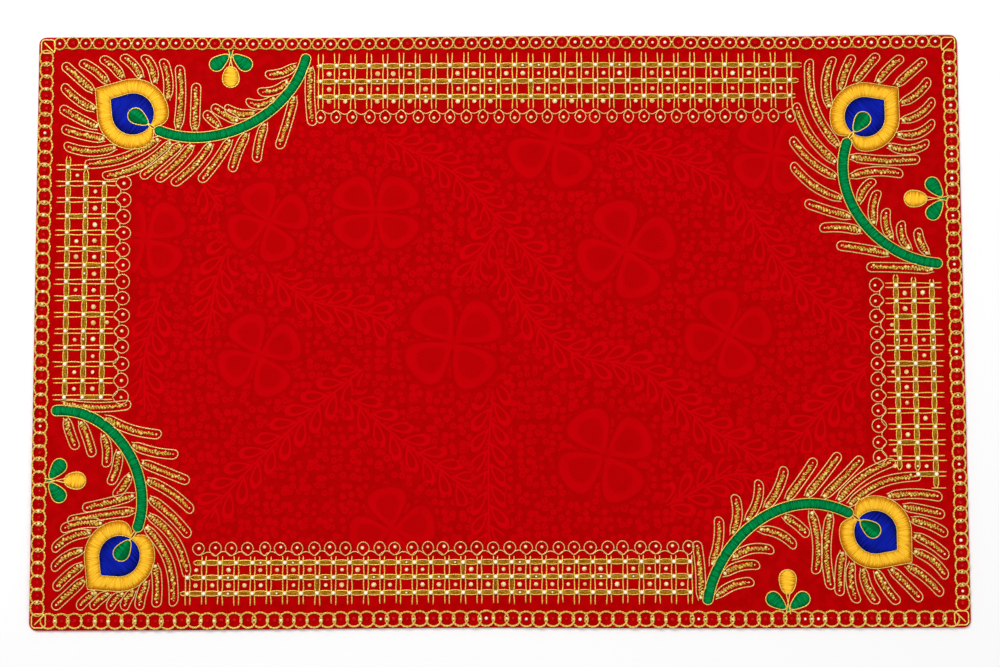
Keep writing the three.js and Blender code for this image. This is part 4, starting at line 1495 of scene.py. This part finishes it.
class SEATMAT_OT_buds(bpy.types.Operator):
    """Works the bud by the border in each corner"""
    bl_idname = "seatmat.buds"
    bl_label = "Buds"

    def execute(self, context):
        stitch = context.scene.seat_mat.satin.stitch / MM
        for number, corner in enumerate(CORNERS):
            satin_piece(number, "yellow_bud", bud_rows(corner, stitch), PAD, "yellow_satin", "bud")
            for order, way in (("first", -1), ("second", 1)):
                rows = bud_leaf_rows(corner, way, stitch)
                satin_piece(number, f"green_leaf_{order}", rows, PAD, "green_satin", f"bud_leaf_{order}")
            centre = (corner["bud"]["u"], corner["bud"]["foot"] - BUD_NUB["sink"])
            rows = teardrop_rows(centre, BUD_NUB["radius"], BUD_NUB["point"], 90, stitch)
            satin_piece(number, "bud_nub", rows, LEAF_PAD, "green_satin")
        return {"FINISHED"}


def eye_cords(corner):
    """Cords round the outside and the inside of the yellow band, both open at the neck, and one round the
    leaf in the heart."""
    eye, centre = corner["eye"], eye_centre(corner)
    strands = []
    for kind in ("eye", "heart"):
        cord = OUTLINES[kind]
        angles = np.linspace(eye["neck"] + cord["gap"], eye["neck"] + 360 - cord["gap"], cord["points"])
        if kind == "eye":
            radius = eye_radius(eye, angles, cord["beside"])
        else:
            radius = heart_radius(eye, angles) + cord["beside"]
        line = laid_outline(corner, *polar(centre, angles, radius), cord["lift"])
        strands.append(tapered(line, girth=cord["girth"]))
    leaf = rows_outline(heart_leaf_rows(corner, OUTLINE_STEP), "heart_leaf")
    return [*strands, outline_strand(corner, leaf, "heart_leaf")]


def stem_cord(corner):
    """One cord all round the stem, with round ends."""
    reach = STEM_HALF + OUTLINES["stem"]["beside"]
    points, tangents, total = bezier(corner["stem"], round(stem_length(corner)))
    run = np.linspace(0, total, len(points))
    body = (run > STEM_HALF * 0.9) & (run < total - STEM_HALF * 0.9)
    points, tangents = points[body], tangents[body]
    lefts = left_of(tangents)
    turn = np.radians(np.arange(75, -90, -15))[:, None]
    ends = [
        points[i] + reach * way * (tangents[i] * np.cos(turn) + lefts[i] * np.sin(turn))
        for i, way in ((-1, 1), (0, -1))
    ]
    outline = np.vstack([points + lefts * reach, ends[0], (points - lefts * reach)[::-1], ends[1]])
    return outline_strand(corner, outline.T, "stem")


def neck_cords(corner):
    """Two cords from the point of the heart's leaf to the stem, bowed apart."""
    cord, neck = OUTLINES["neck"], corner["eye"]["neck"]
    tip = polar(eye_centre(corner), neck, EYE_LEAF["shift"] + EYE_LEAF["radius"] * EYE_LEAF["point"])
    start, foot = np.array(tip), np.array(corner["stem"][0])
    aside = left_of(unit((foot - start)[None, :]))[0] * cord["beside"]
    bow = np.sin(np.linspace(0, math.pi, cord["points"]))[:, None]
    strands = []
    for sign in (1, -1):
        line = np.linspace(start, foot + sign * aside, cord["points"]) + sign * aside * bow
        strands.append(outline_strand(corner, line.T, "neck", closed=False))
    return strands


def bud_cords(corner):
    """Cords round the bud and its two leaves, and a crossed pair below it."""
    bud, cord = corner["bud"], OUTLINES["bud_neck"]
    strands = [outline_strand(corner, rows_outline(bud_rows(corner, OUTLINE_STEP), "bud"), "bud")]
    for way in (-1, 1):
        leaf = rows_outline(bud_leaf_rows(corner, way, OUTLINE_STEP), "bud_leaf")
        strands.append(outline_strand(corner, leaf, "bud_leaf"))
    v = np.linspace(bud["foot"] - cord["below"], bud["base"] + cord["above"], cord["points"])
    for side in (-cord["beside"], cord["beside"]):
        u = bud["u"] + np.linspace(-side, side, cord["points"])
        strands.append(outline_strand(corner, (u, v), "bud_neck", closed=False))
    return strands


class SEATMAT_OT_outlines(bpy.types.Operator):
    """Couches a gold cord round every satin shape"""
    bl_idname = "seatmat.outlines"
    bl_label = "Outline cords"

    def execute(self, context):
        thickness = context.scene.seat_mat.gold.outline / MM
        for corner in CORNERS:
            strands = [*eye_cords(corner), stem_cord(corner), *neck_cords(corner), *bud_cords(corner)]
            cord_piece(f"{corner['name']}_outline_cord", strands, thickness, "fine_gold", sides=6)
        return {"FINISHED"}


def bullion_coil(corner, barb, chance):
    """A loose coil that wanders in width and in thickness, as couched bullion does."""
    start, stop = BULLION["start"], barb[2] - BULLION["stop"]
    turns = (stop - start) / BULLION["pitch"]
    count = round(turns * BULLION["turn_points"])
    share = np.linspace(0, 1, count)
    wobble = BULLION["wobble"] * np.sin(share * chance.uniform(5, 9) + chance.uniform(0, 6))
    phase = 2 * math.pi * turns * share + wobble
    widths = chance.uniform(*BULLION["widths"])
    wander = np.interp(share, np.linspace(0, 1, len(widths)), widths)
    thinning = 1 - BULLION["thinning"] * (1 - np.cos(np.pi * share))
    radius = BULLION["radius"] * wander * thinning
    along = start + (stop - start) * share + BULLION["sway"] * np.sin(2 * phase)
    line = barb_line(barb, along, radius * np.sin(phase))
    height = BULLION["lift"] + BULLION["rise"] * np.cos(phase)
    return strand(laid_outline(corner, *line, height), False, chance.uniform(*BULLION["girths"], count))


def bullion_chips(corner, barb, chance):
    """Places for short cut bits of bullion along a barb."""
    along = np.arange(BULLION["start"], barb[2] - BULLION["stop"], CHIP["step"])
    along = along + chance.uniform(-CHIP["stray"], CHIP["stray"], len(along))
    line = barb_line(barb, along, chance.uniform(-CHIP["spread"], CHIP["spread"], len(along)))
    return laid_outline(corner, *line, BEADS["barb_chips"]["lift"])


def bullion_core(corner, barb, chance):
    """Two uneven lines of bullion that fill a barb under its coil."""
    along = np.arange(BULLION["start"] - 1, barb[2] - BULLION["stop"], CORE["step"])
    strands = []
    for aside in (-CORE["aside"], CORE["aside"]):
        line = barb_line(barb, along, aside + chance.uniform(-CORE["stray"], CORE["stray"], len(along)))
        girth = chance.uniform(*CORE["girths"], len(along))
        strands.append(strand(laid_outline(corner, *line, CORE["lift"]), False, girth))
    return strands


class SEATMAT_OT_barbs(bpy.types.Operator):
    """Works the barbs of each feather: cord outlines, coiled bullion and beads"""
    bl_idname = "seatmat.barbs"
    bl_label = "Barbs"

    def execute(self, context):
        mat = context.scene.seat_mat
        for number, corner in enumerate(CORNERS):
            name = corner["name"]
            chance = chance_for("barbs", number)
            outlines, coils, cores, chips, roots, tips = [], [], [], [], [], []
            for barb in barb_roots(corner):
                outlines.append(tapered(laid_outline(corner, *barb_outline(barb), BARB_LIFT)))
                coils.append(bullion_coil(corner, barb, chance))
                chips.append(bullion_chips(corner, barb, chance))
                cores += bullion_core(corner, barb, chance)
                root = barb_line(barb, np.array([ROOT_BEAD_AT]), 0.0)
                roots.append(laid_outline(corner, *root, BEADS["root_beads"]["lift"]))
                tip = barb_line(barb, np.array([barb[2] - TIP_BEAD_AT]), chance.uniform(-0.3, 0.3))
                tips.append(laid_outline(corner, *tip, BEADS["tip_beads"]["lift"]))
            cord_piece(f"{name}_barb_cord", outlines, mat.gold.barb / MM, "barb_gold", f"{name}_plume")
            cord_piece(f"{name}_barb_bullion", coils, mat.gold.coil / MM, "bullion_gold")
            cord_piece(f"{name}_barb_core", cores, CORE["cord"], "rail_gold")
            bead_piece(name, "barb_chips", np.vstack(chips), chance, seed=mat.seed + number)
            bead_piece(name, "root_beads", np.vstack(roots), chance)
            bead_piece(name, "tip_beads", np.vstack(tips), chance)
        return {"FINISHED"}


def on_side(lattice, along, across, lift):
    """Points of a lattice from the place along its side and the distance from the mat's centre line."""
    along, across = np.broadcast_arrays(np.asarray(along, float), np.asarray(across, float))
    return laid(along, across, lift) if lattice["along_x"] else laid(across, along, lift)


def inward_of(distance):
    """The way to the mat's centre line from a distance on either side of it."""
    return -math.copysign(1, distance)


def rails_at(lattice, place):
    """The rails that a pair of cross cords meets, from the outer one inwards."""
    return [
        offset for offset, start, end in lattice["rails"]
        if start - RAIL_TOLERANCE < place < end + RAIL_TOLERANCE
    ]


def rail_strands(lattice, chance):
    """Two outer cords that bulge between the crossings, and two fat ones between them."""
    cords, cores = [], []
    knots = np.linspace(*lattice["cross"])
    for offset, start, end in lattice["rails"]:
        along = np.arange(start, end, RAIL["step"])
        share = ((along - knots[0]) / (knots[1] - knots[0])) % 1
        half = RAIL["pinch"] + (RAIL["bulge"] - RAIL["pinch"]) * np.sin(np.pi * share) ** 1.2
        half *= np.sqrt(np.clip((np.minimum(along - start, end - along) + 0.1) / RAIL["tip"], 0, 1))
        for sign in (1, -1):
            cords.append(tapered(on_side(lattice, along, offset + sign * half, RAIL["lift"]), 0.8))
            aside = sign * RAIL["core"] * (0.6 + 0.5 * np.sin(np.pi * share[2:-2]))
            core = on_side(lattice, along[2:-2], offset + aside, RAIL["core_lift"])
            cores.append(strand(core, False, chance.uniform(0.55, 1.25, len(core))))
    if "foot" in lattice:
        place, first, last = lattice["foot"]
        cords.append(tapered(on_side(lattice, place, np.linspace(first, last, 8), RAIL["lift"]), 0.8))
    return cords, cores


def cross_strands(lattice, chance):
    """Pairs of cords across the rails, each pair closing in a little on every rail, and bullion between the
    two cords in some of the cells."""
    outer, inner = lattice["ends"]
    cords, fills = [], []
    offsets = [rail[0] for rail in lattice["rails"]]
    for place in np.linspace(*lattice["cross"]):
        reached = rails_at(lattice, place)
        finish = inner
        if len(reached) == 1:
            finish = offsets[1]
        elif reached[-1] != offsets[-1]:
            finish = reached[-1] + inward_of(outer) * CROSS["overhang"]
        for sign in (1, -1):
            first, last = outer + chance.uniform(-0.7, 0.7), finish + chance.uniform(-0.3, 0.3)
            across = np.linspace(first, last, CROSS["points"])
            near = sum(bump(across - offset, CROSS["reach"]) for offset in offsets)
            waver = CROSS["waver"] * np.sin(across / CROSS["waver_length"] + place)
            half = CROSS["half"] - CROSS["pinch"] * near + waver
            lift = CROSS["lift"] + CROSS["rise"] * near
            cords.append(tapered(on_side(lattice, place + sign * half, across, lift)))
        for first, last in zip(offsets, offsets[1:]):
            if first in reached and last in reached and chance.random() < lattice["filled"]:
                across = np.linspace(first, last, FILL["points"])[1:-1]
                for aside in (-FILL["aside"], FILL["aside"]):
                    along = place + aside + chance.uniform(-0.12, 0.12, len(across))
                    line = on_side(lattice, along, across, FILL["lift"])
                    fills.append(strand(line, False, chance.uniform(0.5, 0.95, len(across))))
    return cords, fills


def loop_strands(lattice, chance):
    """The row of loops on the inner side, narrower towards the lattice, and the thread that links them."""
    turn = np.linspace(0, 2 * math.pi, LOOP["points"], endpoint=False)
    narrowing = 1 - LOOP["pinch"] * np.clip(-np.sin(turn), 0, 1) ** 1.5
    lift = LOOP["lift"] + LOOP["rise"] * np.cos(turn)
    middle, half_along, half_across = lattice["loops"]
    inward = inward_of(middle)
    places = np.linspace(*lattice["loop_row"])
    strands = []
    for place in places:
        wide, deep = chance.uniform(0.94, 1.06, 2)
        along = place + chance.uniform(-0.7, 0.7) + half_along * wide * np.cos(turn) * narrowing
        across = middle + inward * half_across * deep * np.sin(turn)
        strands.append(strand(on_side(lattice, along, across, lift), True))
    share = np.linspace(0, 1, LINK["points"])
    for one, other in zip(places, places[1:]):
        rise = LINK["start"] - LINK["fall"] * np.sin(np.pi * share) * chance.uniform(0.8, 1.1)
        across = middle - inward * half_across * rise
        shift = (1 - LINK["reach"]) / 2 + chance.uniform(-0.06, 0.06)
        along = one + (other - one) * (share * LINK["reach"] + shift)
        strands.append(tapered(on_side(lattice, along, across, LINK["lift"])))
    return strands


class SEATMAT_OT_lattices(bpy.types.Operator):
    """Couches the rails, cross cords and loops of the lattices"""
    bl_idname = "seatmat.lattices"
    bl_label = "Lattice cords"

    def execute(self, context):
        for number, lattice in enumerate(LATTICES):
            name = lattice["name"]
            chance = chance_for("lattice", number)
            cords, cores = rail_strands(lattice, chance)
            rails = [f"{name}_rail_{i}" for i in (1, 2, 3)]
            cord_piece(f"{name}_rail_cord", cords, RAIL["cord"], "fine_gold", *rails, sides=6)
            cross, fills = cross_strands(lattice, chance)
            cord_piece(f"{name}_rail_bullion", cores + fills, RAIL["core_cord"], "rail_gold")
            cord_piece(f"{name}_cross_cord", cross, CROSS["cord"], "fine_gold")
            cord_piece(f"{name}_loop_cord", loop_strands(lattice, chance), LOOP["cord"], "barb_gold")
        return {"FINISHED"}


def rail_beads(lattice, chance):
    """Places for a pearl on every crossing of a rail, and for beads half way between some of them."""
    places = np.linspace(*lattice["cross"])
    middles = (places[1:] + places[:-1]) / 2
    pearls, beads = [], []
    for offset, start, end in lattice["rails"]:
        here = places[(places > start - RAIL_TOLERANCE) & (places < end + RAIL_TOLERANCE)]
        pearls.append(on_side(lattice, here, offset, BEADS["crossing_pearls"]["lift"]))
        between = middles[(middles > start) & (middles < end)]
        between = between[chance.random(len(between)) < RAIL_BEAD_SHARE]
        beads.append(on_side(lattice, between, offset, BEADS["rail_beads"]["lift"]))
    return np.vstack(pearls), np.vstack(beads)


def spangle_places(lattice, chance):
    """Places in some of the cells, and in the row between the inner rail and the loops."""
    places = np.linspace(*lattice["cross"])
    middles = (places[1:] + places[:-1]) / 2
    outer, middle, inner = lattice["rails"]
    rows = (
        ((outer[0] + middle[0]) / 2, middle),
        ((middle[0] + inner[0]) / 2, inner),
        (inner[0] + inward_of(inner[0]) * LAST_ROW_STEP, inner),
    )
    points = []
    for (row, rail), share in zip(rows, lattice["spangles"]):
        here = middles[(middles > rail[1]) & (middles < rail[2])]
        here = here[chance.random(len(here)) < share]
        along = here + chance.uniform(-0.3, 0.3, len(here))
        points.append(on_side(lattice, along, row, BEADS["spangles"]["lift"]))
    return np.vstack(points)


def loop_bead_places(lattice, chance):
    places = np.linspace(*lattice["loop_row"])
    middle = lattice["loops"][0]
    across = middle + inward_of(middle) * LOOP_BEAD_STEP + chance.uniform(-0.5, 0.5, len(places))
    return on_side(lattice, places, across, BEADS["loop_beads"]["lift"])


class SEATMAT_OT_lattice_beads(bpy.types.Operator):
    """Sews a pearl on every crossing, spangles in the cells and beads in the loops"""
    bl_idname = "seatmat.lattice_beads"
    bl_label = "Lattice pearls"

    def execute(self, context):
        seed = context.scene.seat_mat.seed
        for number, lattice in enumerate(LATTICES):
            chance = chance_for("lattice_beads", number)
            pearls, beads = rail_beads(lattice, chance)
            places = {
                "crossing_pearls": pearls,
                "rail_beads": beads,
                "spangles": spangle_places(lattice, chance),
                "loop_beads": loop_bead_places(lattice, chance),
            }
            for kind, points in places.items():
                bead_piece(lattice["name"], kind, points, chance, seed=seed + number)
        return {"FINISHED"}


def runs_along_x(side):
    return side["name"] in ("far", "near")


def ring_centres(side, chance):
    centres = np.linspace(side["first"], side["last"], side["count"])
    return centres + chance.uniform(-0.3, 0.3, centres.shape)


def ring_strands(side, centres, chance):
    """Rings of two-ply rope that each pass over the next one and under the one before."""
    turn = np.linspace(0, 2 * math.pi, ROPE["points"], endpoint=False)
    strands = []
    for centre in centres:
        long_half, wide_half = np.array(side["size"]) * chance.uniform(0.96, 1.04, 2)
        girth = ROPE["thin"] + (1 - ROPE["thin"]) * np.abs(np.sin(turn))
        girth *= 1 + chance.uniform(-0.05, 0.05, len(turn))
        offset = ROPE["offset"] * side["cord"] * girth
        start = chance.uniform(0, 6)
        for ply in (0, math.pi):
            twist = ROPE["turns"] * turn + start + ply
            along = (long_half + offset * np.cos(twist)) * np.cos(turn)
            across = (wide_half + offset * np.cos(twist)) * np.sin(turn)
            x, y = (along, across) if runs_along_x(side) else (across, along)
            lift = ROPE["lift"] + ROPE["rise"] * np.cos(turn) + offset * np.sin(twist)
            strands.append(strand(laid(centre[0] + x, centre[1] + y, lift), True, girth))
    return strands


def corner_loops():
    """In each corner a rounded loop with a cord across it, from the inner corner towards the outer one."""
    turn = np.linspace(0, 2 * math.pi, 32, endpoint=False)
    radius = CORNER_LOOP["half"] * (1 - CORNER_LOOP["bulge"] * np.cos(4 * turn))
    reach = np.linspace(*CORNER_LOOP["dash"])
    strands = []
    for sign_x in (-1, 1):
        for sign_y in (-1, 1):
            centre_x = sign_x * (MAT_LENGTH / 2 - CORNER_LOOP["inset"])
            centre_y = sign_y * (MAT_WIDTH / 2 - CORNER_LOOP["inset"])
            x, y = centre_x + radius * np.cos(turn), centre_y + radius * np.sin(turn)
            strands.append(strand(laid(x, y, CORNER_LOOP["lift"]), True))
            x, y = (c + sign * reach / math.sqrt(2) for c, sign in ((centre_x, sign_x), (centre_y, sign_y)))
            strands.append(tapered(laid(x, y, CORNER_LOOP["dash_lift"])))
    return strands


def edge_thread(side):
    """The thin thread that links the rings on their inner side."""
    count = side["count"] * EDGE_THREAD["points"]
    line = np.linspace(side["first"], side["last"], count)
    axis = 1 if runs_along_x(side) else 0
    scallops = np.cos(np.linspace(0, 2 * math.pi * (side["count"] - 1), count))
    wave = side["size"][1] - EDGE_THREAD["tuck"] + EDGE_THREAD["scallop"] * scallops
    line[:, axis] += inward_of(side["first"][axis]) * wave
    return tapered(laid(*line.T, EDGE_THREAD["lift"]))


class SEATMAT_OT_ring_chain(bpy.types.Operator):
    """Couches the chain of rings round the edge, with its thread and pearls"""
    bl_idname = "seatmat.ring_chain"
    bl_label = "Ring chain"

    def execute(self, context):
        for number, side in enumerate(CHAIN):
            name = side["name"]
            chance = chance_for("ring_chain", number)
            centres = ring_centres(side, chance)
            rings = ring_strands(side, centres, chance)
            cord_piece(f"{name}_ring_chain", rings, ROPE["ply"] * side["cord"], "chain_gold", sides=4)
            held = chance.random(len(centres)) < side["pearls"]
            places = {
                "chain_pearls": centres[held],
                # Pale knots on the crossings, partly a painted highlight where the rings overlap.
                "chain_knot_highlights": (centres[1:] + centres[:-1]) / 2,
                "red_knots": centres[~held],
            }
            for kind, middles in places.items():
                diameter = side["joint"] if kind == "chain_knot_highlights" else None
                bead_piece(name, kind, laid(*middles.T, BEADS[kind]["lift"]), chance, diameter)
        threads = [edge_thread(side) for side in CHAIN]
        cord_piece("edge_thread", threads, EDGE_THREAD["cord"], "fine_gold", sides=4)
        cord_piece("corner_loops", corner_loops(), CORNER_LOOP["cord"], "chain_gold", sides=6)
        return {"FINISHED"}


STEPS = [
    SEATMAT_OT_stage, SEATMAT_OT_cloth, SEATMAT_OT_satin_eyes, SEATMAT_OT_satin_stems, SEATMAT_OT_buds,
    SEATMAT_OT_outlines, SEATMAT_OT_barbs, SEATMAT_OT_lattices, SEATMAT_OT_lattice_beads,
    SEATMAT_OT_ring_chain,
]


class SEATMAT_PT_panel(bpy.types.Panel):
    """Lists the steps that dress the mat"""
    bl_idname = "SEATMAT_PT_panel"
    bl_label = "Seat Mat"
    bl_space_type = "VIEW_3D"
    bl_region_type = "UI"
    bl_category = "Seat Mat"

    def draw(self, context):
        for step in STEPS:
            self.layout.operator(step.bl_idname)
        for group in ("cloth", "satin", "gold", "stage"):
            settings = getattr(context.scene.seat_mat, group)
            box = self.layout.box()
            for name in type(settings).__annotations__:
                box.prop(settings, name)


CLASSES = [SeatMatCloth, SeatMatSatin, SeatMatGold, SeatMatStage, SeatMat, *STEPS, SEATMAT_PT_panel]


def register():
    for cls in CLASSES:
        bpy.utils.register_class(cls)
    bpy.types.Scene.seat_mat = PointerProperty(type=SeatMat)


def unregister():
    del bpy.types.Scene.seat_mat
    for cls in reversed(CLASSES):
        bpy.utils.unregister_class(cls)


def main():
    register()
    for step in STEPS:
        group, name = step.bl_idname.split(".")
        getattr(getattr(bpy.ops, group), name)()


if __name__ == "__main__":
    main()
